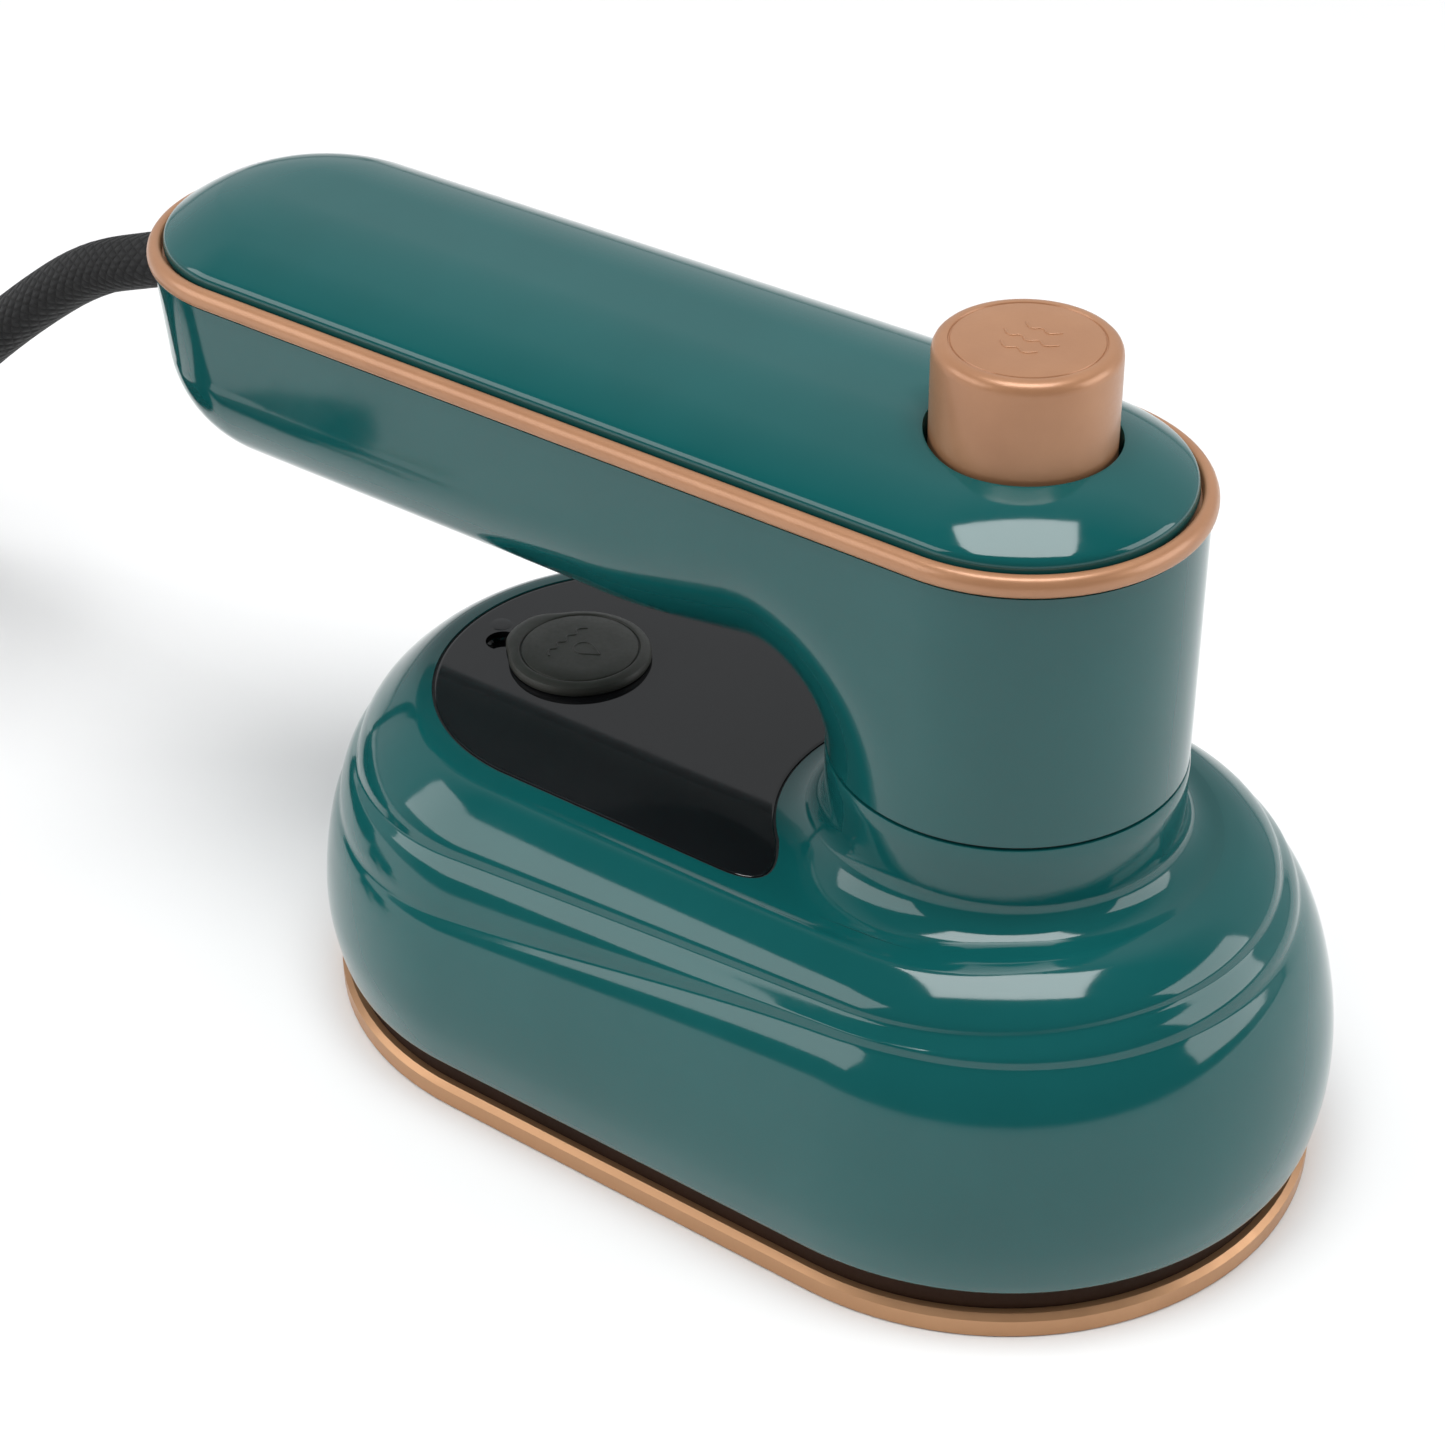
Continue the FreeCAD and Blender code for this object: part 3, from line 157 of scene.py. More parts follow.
def tree_of(name):
    """A new material with an empty node tree, its Principled shader and its output joined up."""
    material = bpy.data.materials.new(name)
    material.use_nodes = True
    nodes = material.node_tree.nodes
    nodes.clear()
    shader = nodes.new("ShaderNodeBsdfPrincipled")
    output = nodes.new("ShaderNodeOutputMaterial")
    material.node_tree.links.new(shader.outputs["BSDF"], output.inputs["Surface"])
    return material, nodes, material.node_tree.links, shader


def noise(nodes, links, scale, detail=4.0, stretch=EVEN):
    """Noise in the object's own metres, with features about 1 / scale metres across."""
    place = nodes.new("ShaderNodeTexCoord")
    mapping = nodes.new("ShaderNodeMapping")
    mapping.inputs["Scale"].default_value = stretch
    texture = nodes.new("ShaderNodeTexNoise")
    texture.inputs["Scale"].default_value = scale
    texture.inputs["Detail"].default_value = detail
    texture.inputs["Roughness"].default_value = NOISE_ROUGHNESS
    links.new(place.outputs["Object"], mapping.inputs["Vector"])
    links.new(mapping.outputs["Vector"], texture.inputs["Vector"])
    return texture.outputs["Fac"]


def spread(nodes, links, value, low, high, start=0.3, end=0.7):
    """The value from start to end, stretched to run from low to high."""
    change = nodes.new("ShaderNodeMapRange")
    change.inputs["From Min"].default_value = start
    change.inputs["From Max"].default_value = end
    change.inputs["To Min"].default_value = low
    change.inputs["To Max"].default_value = high
    links.new(value, change.inputs["Value"])
    return change.outputs["Result"]


def two_colours(nodes, links, value, first, second, start=0.35, end=0.65):
    """A colour that runs from the first to the second with the value."""
    ramp = nodes.new("ShaderNodeValToRGB")
    ramp.color_ramp.elements[0].position = start
    ramp.color_ramp.elements[0].color = (*first, 1.0)
    ramp.color_ramp.elements[1].position = end
    ramp.color_ramp.elements[1].color = (*second, 1.0)
    links.new(value, ramp.inputs["Fac"])
    return ramp.outputs["Color"]


def bump(nodes, links, shader, height, depth):
    """Surface relief of this depth in millimetres, from a height between 0 and 1."""
    relief = nodes.new("ShaderNodeBump")
    relief.inputs["Strength"].default_value = 1.0
    relief.inputs["Distance"].default_value = depth * MM
    links.new(height, relief.inputs["Height"])
    links.new(relief.outputs["Normal"], shader.inputs["Normal"])


def finish(name, first, second, rough, metal=0.0, coat=0.0, cloud=60.0, grain=1500.0, depth=0.01,
           stretch=EVEN, specular=0.5):
    """A moulded, cast or turned surface: clouded colour, uneven gloss and a fine grain."""
    material, nodes, links, shader = tree_of(name)
    shader.inputs["Metallic"].default_value = metal
    shader.inputs["Coat Weight"].default_value = coat
    shader.inputs["Coat Roughness"].default_value = COAT_ROUGHNESS
    shader.inputs["Specular IOR Level"].default_value = specular
    clouds = noise(nodes, links, cloud, stretch=stretch)
    grains = noise(nodes, links, grain, detail=6.0, stretch=stretch)
    links.new(two_colours(nodes, links, clouds, first, second), shader.inputs["Base Color"])
    links.new(spread(nodes, links, grains, rough[0], rough[1]), shader.inputs["Roughness"])
    bump(nodes, links, shader, grains, depth)
    return material


def brushed(name, first, second, rough, metal=1.0):
    """Metal with fine lines along x, as a drawn or brushed sheet has."""
    return finish(name, first, second, rough, metal=metal, cloud=90.0, grain=700.0, depth=0.006,
                  stretch=ALONG_X)


def braid(name, along, around):
    """A braided sleeve: strands that cross, so many along the curve's length and so many round it, with
    painted shade in the grooves between them.
    """
    material, nodes, links, shader = tree_of(name)
    place = nodes.new("ShaderNodeTexCoord")
    split = nodes.new("ShaderNodeSeparateXYZ")
    links.new(place.outputs["UV"], split.inputs["Vector"])

    def math_node(kind, first, second=None):
        node = nodes.new("ShaderNodeMath")
        node.operation = kind
        for socket, value in zip(node.inputs, (first, second)):
            if value is None:
                continue
            if isinstance(value, (int, float)):
                socket.default_value = value
            else:
                links.new(value, socket)
        return node.outputs["Value"]

    length = math_node("MULTIPLY", split.outputs["X"], along * 2.0 * math.pi)
    turn = math_node("MULTIPLY", split.outputs["Y"], around * 2.0 * math.pi)
    right = math_node("SINE", math_node("ADD", length, turn))
    left = math_node("SINE", math_node("SUBTRACT", length, turn))
    crossing = math_node("MULTIPLY", right, left)
    height = math_node("ADD", math_node("MULTIPLY", math_node("ABSOLUTE", crossing), 0.9), 0.05)
    fibre = noise(nodes, links, 2600.0, detail=5.0)
    weave_height_and_shade = math_node("ADD", height, math_node("MULTIPLY", fibre, 0.35))
    # The colour follows the weave's height. This is painted shade: darker in the grooves between the strands
    # and lighter on their raised middles. The fibre noise adds random tone.
    links.new(two_colours(nodes, links, weave_height_and_shade, (0.0015, 0.0015, 0.0017), (0.010, 0.010, 0.0105), 0.05, 1.1),
              shader.inputs["Base Color"])
    shader.inputs["Roughness"].default_value = 0.62
    shader.inputs["Specular IOR Level"].default_value = 0.28
    shader.inputs["Sheen Weight"].default_value = 0.03
    shader.inputs["Sheen Roughness"].default_value = 0.4
    bump(nodes, links, shader, weave_height_and_shade, 0.25)
    return material


# Linear colours that a surface's clouds run between
GREEN_DARK = (0.0042, 0.083, 0.0835)
GREEN_LIGHT = (0.0052, 0.092, 0.0925)
ROSE_DARK = (0.405, 0.195, 0.098)
ROSE_LIGHT = (0.46, 0.230, 0.118)

FINISHES = {
    "green_plastic": finish("green_gloss", GREEN_DARK, GREEN_LIGHT, (0.06, 0.10), cloud=35.0,
                            grain=420.0, depth=0.0035),
    "rose_gold": finish("rose_gold", ROSE_DARK, ROSE_LIGHT, (0.32, 0.40), metal=0.25, coat=0.15, cloud=70.0,
                        grain=2400.0, depth=0.006),
    "sole_metal": brushed("sole_metal", (0.49, 0.262, 0.130), (0.545, 0.30, 0.155), (0.34, 0.44), metal=0.55),
    "heater_steel": brushed("heater_steel", (0.42, 0.41, 0.39), (0.52, 0.51, 0.49), (0.3, 0.5)),
    "black_rubber": finish("black_rubber", (0.010, 0.010, 0.011), (0.017, 0.017, 0.018), (0.55, 0.75),
                           depth=0.02),
    "lid_metal": finish("lid_metal", (0.50, 0.50, 0.51), (0.60, 0.60, 0.61), (0.35, 0.55), metal=1.0),
    "screw_steel": finish("screw_steel", (0.50, 0.49, 0.47), (0.60, 0.59, 0.57), (0.25, 0.42), metal=1.0),
    "control_steel": brushed("control_steel", (0.48, 0.47, 0.45), (0.58, 0.57, 0.55), (0.25, 0.4)),
    "fuse_case": finish("fuse_case", (0.62, 0.58, 0.46), (0.72, 0.68, 0.55), (0.4, 0.6)),
    "skirt_plastic": finish("skirt_plastic", (0.022, 0.009, 0.004), (0.032, 0.013, 0.006), (0.55, 0.7),
                            depth=0.015, specular=0.12),
    "tank_plastic": finish("tank_plastic", (0.05, 0.055, 0.06), (0.075, 0.08, 0.085), (0.12, 0.2)),
    "smoked_window": finish("smoked_window", (0.0065, 0.0068, 0.0078), (0.0095, 0.0098, 0.011), (0.03, 0.06),
                            cloud=40.0, grain=300.0, depth=0.002),
    "stopper_rubber": finish("stopper_rubber", (0.044, 0.045, 0.038), (0.056, 0.057, 0.049), (0.42, 0.55),
                             cloud=180.0, grain=2200.0, depth=0.012),
    "hose_silicone": finish("hose_silicone", (0.55, 0.50, 0.42), (0.64, 0.60, 0.52), (0.35, 0.5)),
    "white_plastic": finish("white_plastic", (0.62, 0.62, 0.60), (0.70, 0.70, 0.68), (0.3, 0.45)),
    "washer_plastic": finish("washer_plastic", (0.012, 0.013, 0.013), (0.02, 0.021, 0.021), (0.35, 0.5)),
    "lead_insulation": finish("lead_insulation", (0.30, 0.06, 0.03), (0.38, 0.08, 0.04), (0.4, 0.55)),
    "dark_plastic": finish("dark_plastic", (0.014, 0.014, 0.015), (0.022, 0.022, 0.023), (0.35, 0.5),
                           depth=0.015),
    "ball_steel": finish("ball_steel", (0.55, 0.55, 0.56), (0.62, 0.62, 0.63), (0.08, 0.14), metal=1.0),
    "pin_brass": finish("pin_brass", (0.60, 0.57, 0.50), (0.70, 0.67, 0.60), (0.18, 0.3), metal=1.0,
                        grain=3000.0, depth=0.006),
    "cord_rubber": finish("cord_rubber", (0.010, 0.010, 0.011), (0.018, 0.018, 0.019), (0.45, 0.62),
                          cloud=250.0, grain=2600.0, depth=0.02),
    "cord_braid": braid("cord_braid", 620.0, 7.0),
    "tie_fabric": finish("tie_fabric", (0.012, 0.012, 0.013), (0.028, 0.028, 0.030), (0.75, 0.9),
                         cloud=900.0, grain=3500.0, depth=0.08),
    "plug_plastic": finish("plug_plastic", (0.012, 0.012, 0.013), (0.020, 0.020, 0.021), (0.32, 0.46),
                           cloud=120.0, grain=2000.0, depth=0.02),
    "spring_steel": finish("spring_steel", (0.50, 0.50, 0.50), (0.58, 0.58, 0.58), (0.2, 0.35), metal=1.0),
}


# ---------------------------------------------------------------- camera and light


def point_camera():
    """The camera at the photograph's viewing angle."""
    place = Vector(CAMERA_PLACE)
    turn, rise, roll = (math.radians(angle) for angle in (CAMERA_TURN, CAMERA_RISE, CAMERA_ROLL))
    back = Vector((math.sin(turn) * math.cos(rise), -math.cos(turn) * math.cos(rise), math.sin(rise)))
    right = (-back).cross(Vector((0.0, 0.0, 1.0))).normalized()
    up = right.cross(-back)
    across = right * math.cos(roll) + up * math.sin(roll)
    upward = up * math.cos(roll) - right * math.sin(roll)
    data = bpy.data.cameras.new("camera")
    data.sensor_width = CAMERA_SENSOR
    data.lens = CAMERA_LENS
    data.clip_start = 0.01
    camera = bpy.data.objects.new("camera", data)
    bpy.context.scene.collection.objects.link(camera)
    camera.matrix_world = Matrix.Translation(place) @ Matrix((across, upward, back)).transposed().to_4x4()
    bpy.context.scene.camera = camera


def softbox(name, place, width, height, power):
    """A flat light that faces the iron."""
    data = bpy.data.lights.new(name, "AREA")
    data.shape = "RECTANGLE"
    data.size = width
    data.size_y = height
    data.energy = power
    light = bpy.data.objects.new(name, data)
    bpy.context.scene.collection.objects.link(light)
    light.location = place
    towards = Vector(SOFT_BOX_AIM) - Vector(place)
    light.rotation_euler = towards.to_track_quat("-Z", "Y").to_euler()


def studio():
    """Soft boxes to the left, the right and overhead, in a room with a bright side and a dark side."""
    for name, (place, width, height, power) in SOFT_BOXES.items():
        softbox(name, place, width, height, power)
    world = bpy.data.worlds.new("studio")
    bpy.context.scene.world = world
    world.use_nodes = True
    nodes, links = world.node_tree.nodes, world.node_tree.links
    nodes.clear()
    place = nodes.new("ShaderNodeTexCoord")
    ahead = nodes.new("ShaderNodeVectorMath")
    ahead.operation = "DOT_PRODUCT"
    ahead.inputs[1].default_value = ROOM_WAY
    links.new(place.outputs["Generated"], ahead.inputs[0])
    share = spread(nodes, links, ahead.outputs["Value"], 0.0, 1.0, -1.0, 1.0)
    room = nodes.new("ShaderNodeBackground")
    room.inputs["Strength"].default_value = ROOM_STRENGTH
    links.new(two_colours(nodes, links, share, ROOM_DARK, ROOM_BRIGHT, 0.42, 0.62), room.inputs["Color"])
    plain = nodes.new("ShaderNodeBackground")
    plain.inputs["Color"].default_value = (*BACKDROP, 1.0)
    seen = nodes.new("ShaderNodeLightPath")
    mix = nodes.new("ShaderNodeMixShader")
    output = nodes.new("ShaderNodeOutputWorld")
    links.new(seen.outputs["Is Camera Ray"], mix.inputs["Fac"])
    links.new(room.outputs["Background"], mix.inputs[1])
    links.new(plain.outputs["Background"], mix.inputs[2])
    links.new(mix.outputs["Shader"], output.inputs["Surface"])
    bpy.context.scene.view_settings.view_transform = "Standard"


def floor():
    """A plain pale floor, large enough to fill every view."""
    mesh = bpy.data.meshes.new("floor")
    half = FLOOR_HALF
    corners = [(-half, -half, 0.0), (half, -half, 0.0), (half, half, 0.0), (-half, half, 0.0)]
    mesh.from_pydata(corners, [], [(0, 1, 2, 3)])
    plane = bpy.data.objects.new("floor", mesh)
    bpy.context.scene.collection.objects.link(plane)
    plane.location.z = -FLOOR_DROP
    mesh.materials.append(finish("floor_paper", (0.90, 0.90, 0.90), (0.92, 0.92, 0.92), (0.6, 0.7),
                                 cloud=3.0, grain=400.0, depth=0.02, specular=0.2))


# ---------------------------------------------------------------- mesh helpers


def smoothstep(value, start, end):
    """0 before start, 1 after end and smooth between them."""
    share = np.clip((value - start) / (end - start), 0.0, 1.0)
    return share * share * (3.0 - 2.0 * share)


def soft_corners(corners, shares, steps=5):
    """The line of corners, with each inner corner rounded over a share of the runs on both sides of it.

    A corner is one point, or one point for each station.
    """
    corners = np.asarray(corners, float)
    line = [corners[0]]
    for before, corner, after, share in zip(corners, corners[1:], corners[2:], shares):
        start = corner + (before - corner) * share
        end = corner + (after - corner) * share
        for t in np.linspace(0.0, 1.0, steps + 1):
            line.append(start * (1.0 - t) ** 2 + corner * 2.0 * t * (1.0 - t) + end * t * t)
    line.append(corners[-1])
    kept = [line[0]]
    for point in line[1:]:
        if np.abs(point - kept[-1]).max() > 1e-4:
            kept.append(point)
    return np.array(kept)


def stadium(front, back, per_end, per_side):
    """The spine points and outward directions of the stations round a stadium, from the front's middle."""
    half = np.linspace(-90.0, 90.0, per_end, endpoint=False) + 90.0 / per_end
    side = np.linspace(0.0, 1.0, per_side + 2)[1:-1]
    spine = [np.full(per_end, front), front + (back - front) * side]
    spine += [np.full(per_end, back), back + (front - back) * side]
    angle = [half, np.full(per_side, 90.0), half + 180.0, np.full(per_side, 270.0)]
    angle = np.radians(np.concatenate(angle))
    return np.concatenate(spine), np.cos(angle), np.sin(angle)


def piece(name, points, faces, body, slot, sharp=CREASE):
    """A mesh piece that rides on a body, with its slot's finish, smooth but for the sharp edges."""
    mesh = bpy.data.meshes.new(name)
    mesh.from_pydata((np.asarray(points, float) * MM).tolist(), [], faces)
    work = bmesh.new()
    work.from_mesh(mesh)
    bmesh.ops.remove_doubles(work, verts=work.verts, dist=1e-7)
    bmesh.ops.dissolve_degenerate(work, edges=work.edges, dist=1e-7)
    bmesh.ops.recalc_face_normals(work, faces=work.faces)
    work.to_mesh(mesh)
    work.free()
    mesh.shade_smooth()
    mesh.set_sharp_from_angle(angle=math.radians(sharp))
    shown = bpy.data.objects.new(name, mesh)
    bpy.context.scene.collection.objects.link(shown)
    mesh.materials.append(FINISHES[slot])
    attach(shown, body)
    return shown


def loops(name, rows, body, slot, closed=False, first=None, last=None, sharp=CREASE):
    """A piece made of closed loops of points, one joined to the next.

    closed joins the last loop to the first, and first and last are points that close the ends.
    """
    rows = np.asarray(rows, float)
    count, stations = rows.shape[:2]
    points = rows.reshape(-1, 3).tolist()
    faces = []
    for i in range(count if closed else count - 1):
        low, high = i * stations, (i + 1) % count * stations
        for j in range(stations):
            k = (j + 1) % stations
            faces.append((low + j, low + k, high + k, high + j))
    for end, start in ((first, 0), (last, (count - 1) * stations)):
        if end is None:
            continue
        points.append(list(end))
        for j in range(stations):
            faces.append((start + j, start + (j + 1) % stations, len(points) - 1))
    return piece(name, points, faces, body, slot, sharp)


def around(shape, profile):
    """The loops of a stadium with this profile of (radius, height) points, which may vary by station."""
    spine, east, north = shape
    rows = []
    for point in profile:
        radius = point[..., 0] * np.ones_like(spine)
        height = point[..., 1] * np.ones_like(spine)
        rows.append(np.stack([spine + radius * east, radius * north, height], axis=1))
    return np.array(rows)


def turned(name, profile, centre, body, slot, stations=96, axis=(0.0, 0.0, 1.0)):
    """A turned piece: the profile of (radius, distance along the axis) goes round the centre's axis."""
    along = np.array(Vector(axis).normalized())
    side = np.array(Vector(axis).orthogonal().normalized())
    other = np.cross(along, side)
    angle = np.linspace(0.0, 2.0 * math.pi, stations, endpoint=False)
    ring = np.outer(np.cos(angle), side) + np.outer(np.sin(angle), other)
    centre = np.array(centre, float)
    rows = [centre + radius * ring + height * along for radius, height in profile]
    ends = [centre + profile[i][1] * along for i in (0, -1)]
    return loops(name, rows, body, slot, first=ends[0], last=ends[1])


def carve(shown, cutter):
    """Takes the cutter's solid out of a piece, and the cutter away."""
    change = shown.modifiers.new("carve", "BOOLEAN")
    change.operation = "DIFFERENCE"
    change.solver = "EXACT"
    change.object = cutter
    bpy.context.view_layer.update()
    result = bpy.data.meshes.new_from_object(shown.evaluated_get(bpy.context.evaluated_depsgraph_get()))
    shown.modifiers.clear()
    shown.data = result
    result.shade_smooth()
    result.set_sharp_from_angle(angle=math.radians(CREASE))
    bpy.data.objects.remove(cutter)


def embossed(name, lines, body, slot, width):
    """Raised round lines of this width, each along a smooth curve through its control points."""
    data = bpy.data.curves.new(name, "CURVE")
    data.dimensions = "3D"
    data.bevel_depth = width / 2.0 * MM
    data.bevel_resolution = 3
    data.resolution_u = 8
    data.use_fill_caps = True
    for points in lines:
        add_spline(data, points)
    shown = bpy.data.objects.new(name, data)
    bpy.context.scene.collection.objects.link(shown)
    data.materials.append(FINISHES[slot])
    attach(shown, body)
    return shown


def add_spline(data, points):
    """One open NURBS spline through the curve's control points."""
    spline = data.splines.new("NURBS")
    spline.points.add(len(points) - 1)
    for control, point in zip(spline.points, points):
        control.co = (*(value * MM for value in point), 1.0)
    spline.order_u = 3
    spline.use_endpoint_u = True
    return spline


# ---------------------------------------------------------------- the cord


def coil_cell(turn):
    """The radius and height of the winding after this many turns: out, in, down, down, out, up."""
    low, middle, top = COIL_LAYERS
    outer, inner = COIL_OUTER_TURN, COIL_INNER_TURN
    cells = [(outer, top), (inner, top), (inner, middle), (inner, low), (outer, low), (outer, middle)]
    cells.append(cells[-1])
    cell = np.array(cells[0])
    half_change, creep = 0.08, 0.02
    for change in range(1, len(cells)):
        middle_of_change = change - half_change - creep * change
        share = smoothstep(turn, middle_of_change - half_change, middle_of_change + half_change)
        cell = cell + share * (np.array(cells[change]) - np.array(cells[change - 1]))
    return cell


def coil_points(per_turn=24):
    """The turns of the put-away length, wound from the top."""
    points = []
    spread_out = 1.0 / math.cos(math.pi / per_turn) ** 0.5
    for step in range(1, int(COIL_TURNS * per_turn) + 1):
        turn = step / per_turn
        radius, height = coil_cell(turn)
        angle = math.pi / 2.0 + 2.0 * math.pi * turn
        points.append((COIL_CENTRE[0] + radius * spread_out * math.cos(angle),
                       COIL_CENTRE[1] + radius * spread_out * math.sin(angle), height))
    return points


def power_cord():
    """The braided mains lead: out of the gland, down to the floor, round the coil and into the plug."""
    data = bpy.data.curves.new("mains_lead", "CURVE")
    data.dimensions = "3D"
    data.bevel_depth = CORD_RADIUS * MM
    data.bevel_resolution = 6
    data.resolution_u = 6
    data.use_fill_caps = True
    tail = [
        (PLUG_BACK - 29.0, PLUG_Y, 11.0),
        (PLUG_BACK - 17.0, PLUG_Y, 9.6),
        (PLUG_BACK - 6.0, PLUG_Y, 7.7),
        (PLUG_BACK + 6.0, PLUG_Y, PLUG_Z),
    ]
    add_spline(data, [CORD_EXIT] + CORD_ROUTE + coil_points() + tail)
    lead = bpy.data.objects.new("mains_lead", data)
    bpy.context.scene.collection.objects.link(lead)
    data.materials.append(FINISHES["cord_braid"])
    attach(lead, "handle")
    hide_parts("power_cord", "cord_coil", "cord_tail")
    return lead


def plug():
    """The flat two-pin plug: narrow where the lead goes in, with a finger waist and a flat face."""
    sections = [
        (0.0, 4.9, 4.9), (0.6, 5.4, 5.4), (5.0, 5.7, 5.6), (9.0, 6.6, 5.9), (13.0, 9.4, 6.3),
        (17.0, 12.2, 6.6), (21.0, 13.4, 6.8), (25.0, 14.6, 6.9), (29.0, 16.2, 7.0), (32.6, 16.9, 7.0),
        (33.6, 16.6, 6.7), (34.0, 15.8, 6.0),
    ]
    angle = np.linspace(0.0, 2.0 * math.pi, 72, endpoint=False)
    rows = []
    for along, half_width, half_height in sections:
        square = 0.62 + 0.38 * math.exp(-along / 9.0)
        across = half_width * np.sign(np.cos(angle)) * np.abs(np.cos(angle)) ** square
        upward = half_height * np.sign(np.sin(angle)) * np.abs(np.sin(angle)) ** square
        rows.append(np.stack([np.full_like(angle, PLUG_BACK + along), PLUG_Y + across,
                              PLUG_Z + upward], axis=1))
    ends = [(PLUG_BACK + sections[i][0], PLUG_Y, PLUG_Z) for i in (0, -1)]
    body = loops("plug_shell", rows, "handle", "plug_plastic", first=ends[0], last=ends[1])
    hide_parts("plug_body")
    return body


def plug_sleeve():
    """Moulded rings where the lead goes into the plug."""
    profile = [(3.8, -9.0), (4.4, -9.0), (4.7, -8.6)]
    for ring in range(4):
        start = -7.6 + 2.1 * ring
        radius = 4.7 + 0.12 * ring
        groove = radius - 0.7
        profile += [(radius, start), (groove, start + 0.3), (groove, start + 0.8), (radius, start + 1.1)]
    profile += [(5.2, 0.8), (3.8, 0.8)]
    return turned("plug_sleeve", profile, (PLUG_BACK, PLUG_Y, PLUG_Z), "handle", "cord_rubber",
                  stations=48, axis=(1.0, 0.0, 0.0))


def coil_tie():
    """A soft strap round the bundle of turns, with rounded edges."""
    middle_x = COIL_CENTRE[0] - (COIL_INNER_TURN + COIL_OUTER_TURN) / 2.0
    half_width, half_height = 7.7, 11.45
    middle_z = half_height + 0.15
    angle = np.linspace(0.0, 2.0 * math.pi, 64, endpoint=False)
    across = np.sign(np.cos(angle)) * np.abs(np.cos(angle)) ** 0.45
    upward = np.sign(np.sin(angle)) * np.abs(np.sin(angle)) ** 0.45
    section = soft_corners([(0.0, -4.4), (0.75, -4.4), (0.75, 4.4), (0.0, 4.4)], [0.45, 0.06], 4)
    rows = []
    for proud, along in section:
        rows.append(np.stack([middle_x + across * (half_width + proud - 0.4),
                              np.full_like(angle, COIL_CENTRE[1] + along),
                              middle_z + upward * (half_height + proud - 0.75)], axis=1))
    strap = loops("coil_strap", rows, "handle", "tie_fabric", closed=True)
    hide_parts("coil_tie")
    return strap


def gland():
    """The short collar at the handle's back end that the lead comes out of."""
    profile = [
        (0.5, -1.5), (4.8, -1.5), (5.1, -1.1), (5.1, 0.5), (4.9, 0.9),
        (4.55, 1.3), (4.45, 2.6), (4.25, 3.0), (3.5, 3.1),
    ]
    shown = turned("lead_gland", profile, CORD_EXIT, "handle", "cord_rubber", stations=64, axis=CORD_HEADING)
    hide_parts("cord_gland")


# ---------------------------------------------------------------- the base

# Each row is a crease of the dome: its radius and height at the back, its radius and height at the front, the
# share of the runs beside it that is rounded, and how it climbs from back to front
SHELL_LINES = [
    (38.7, 7.2, 38.7, 7.2, 0.1, "even"),
    (40.6, 7.2, 40.6, 7.2, 0.25, "even"),
    (41.15, 9.0, 41.15, 9.0, 0.5, "even"),
    (41.9, 14.0, 41.9, 14.5, 0.5, "even"),
    (41.4, 20.0, 41.4, 22.0, 0.5, "early"),
    (40.5, 24.6, 39.5, 30.0, 0.5, "early"),
    (39.8, 26.8, 37.5, 34.7, 0.5, "early"),
    (39.1, 28.1, 35.8, 37.1, 0.2, "early"),
    (38.8, 30.2, 35.5, 38.3, 0.5, "early"),
    (37.6, 33.0, 34.8, 39.4, 0.5, "even"),
    (36.4, 34.3, 33.4, 40.7, 0.2, "even"),
    (36.0, 35.9, 33.0, 41.9, 0.5, "even"),
    (34.4, 38.5, 31.8, 43.1, 0.5, "even"),
    (31.5, 41.3, 30.2, 44.2, 0.4, "even"),
    (29.5, 42.8, 28.9, 44.9, 0.5, "even"),
    (28.0, 43.5, 27.6, 45.3, 0.5, "late"),
    (26.4, 43.6, 26.2, 45.6, 0.5, "late"),
]


def shell_profile(shape):
    """The dome's outer line at every station, its creases climbing to the neck, and the late climb."""
    spine, east, _ = shape
    x = spine + DOME_RADIUS * east
    climb = {
        "early": smoothstep(x, -50.0, 42.0),
        "even": np.clip((x + 54.0) / 116.0, 0.0, 1.0) ** 0.8,
        "late": smoothstep(x, 8.0, 56.0),
    }
    drawn_in = 0.6 * smoothstep(-x, 30.0, 66.0)
    corners = []
    for back_radius, back_height, front_radius, front_height, _, pace in SHELL_LINES:
        share = climb[pace]
        radius = back_radius + (front_radius - back_radius) * share - drawn_in
        height = back_height + (front_height - back_height) * share
        corners.append(np.stack([radius, height], axis=1))
    shares = [line[4] for line in SHELL_LINES[1:-1]]
    return soft_corners(corners, shares, 5), climb["late"]


def deck_rows(outer, late):
    """In from the deck's edge to the collar's foot, up its concave fillet and down inside the collar."""
    away = outer[:, :2] - NECK_AXIS
    reach = np.linalg.norm(away, axis=1)
    direction = away / reach[:, None]
    foot = 28.6 - 3.4 * late
    rise = 6.8 - 3.0 * late
    near = np.minimum(reach, foot + 0.6)
    rows = []
    for share in np.linspace(1.0, 0.0, 10)[1:-1]:
        radius = near + (reach - near) * share
        rows.append((radius, outer[:, 2]))
    for share in np.linspace(1.0, 0.0, 18):
        radius = COLLAR_RADIUS + (near - COLLAR_RADIUS) * (1.0 - math.cos(share * math.pi / 2.0))
        inward = np.clip((foot - radius) / (foot - COLLAR_RADIUS), 0.0, 1.0)
        rows.append((radius, outer[:, 2] + rise * (1.0 - np.sqrt(1.0 - inward ** 2))))
    collar = [
        (COLLAR_RADIUS, 52.6), (COLLAR_RADIUS, 54.8), (COLLAR_RADIUS, 56.6), (21.3, 56.9), (21.0, COLLAR_TOP),
        (18.9, COLLAR_TOP), (COLLAR_BORE, 56.6), (COLLAR_BORE, 50.0), (COLLAR_BORE, 42.0),
        (19.5, DECK_UNDERSIDE), (22.0, DECK_UNDERSIDE),
    ]
    for radius, height in collar:
        rows.append((np.full_like(reach, radius), np.full_like(reach, height)))
    made = []
    for radius, height in rows:
        flat = NECK_AXIS + direction * radius[:, None]
        made.append(np.concatenate([flat, height[:, None]], axis=1))
    return np.array(made)


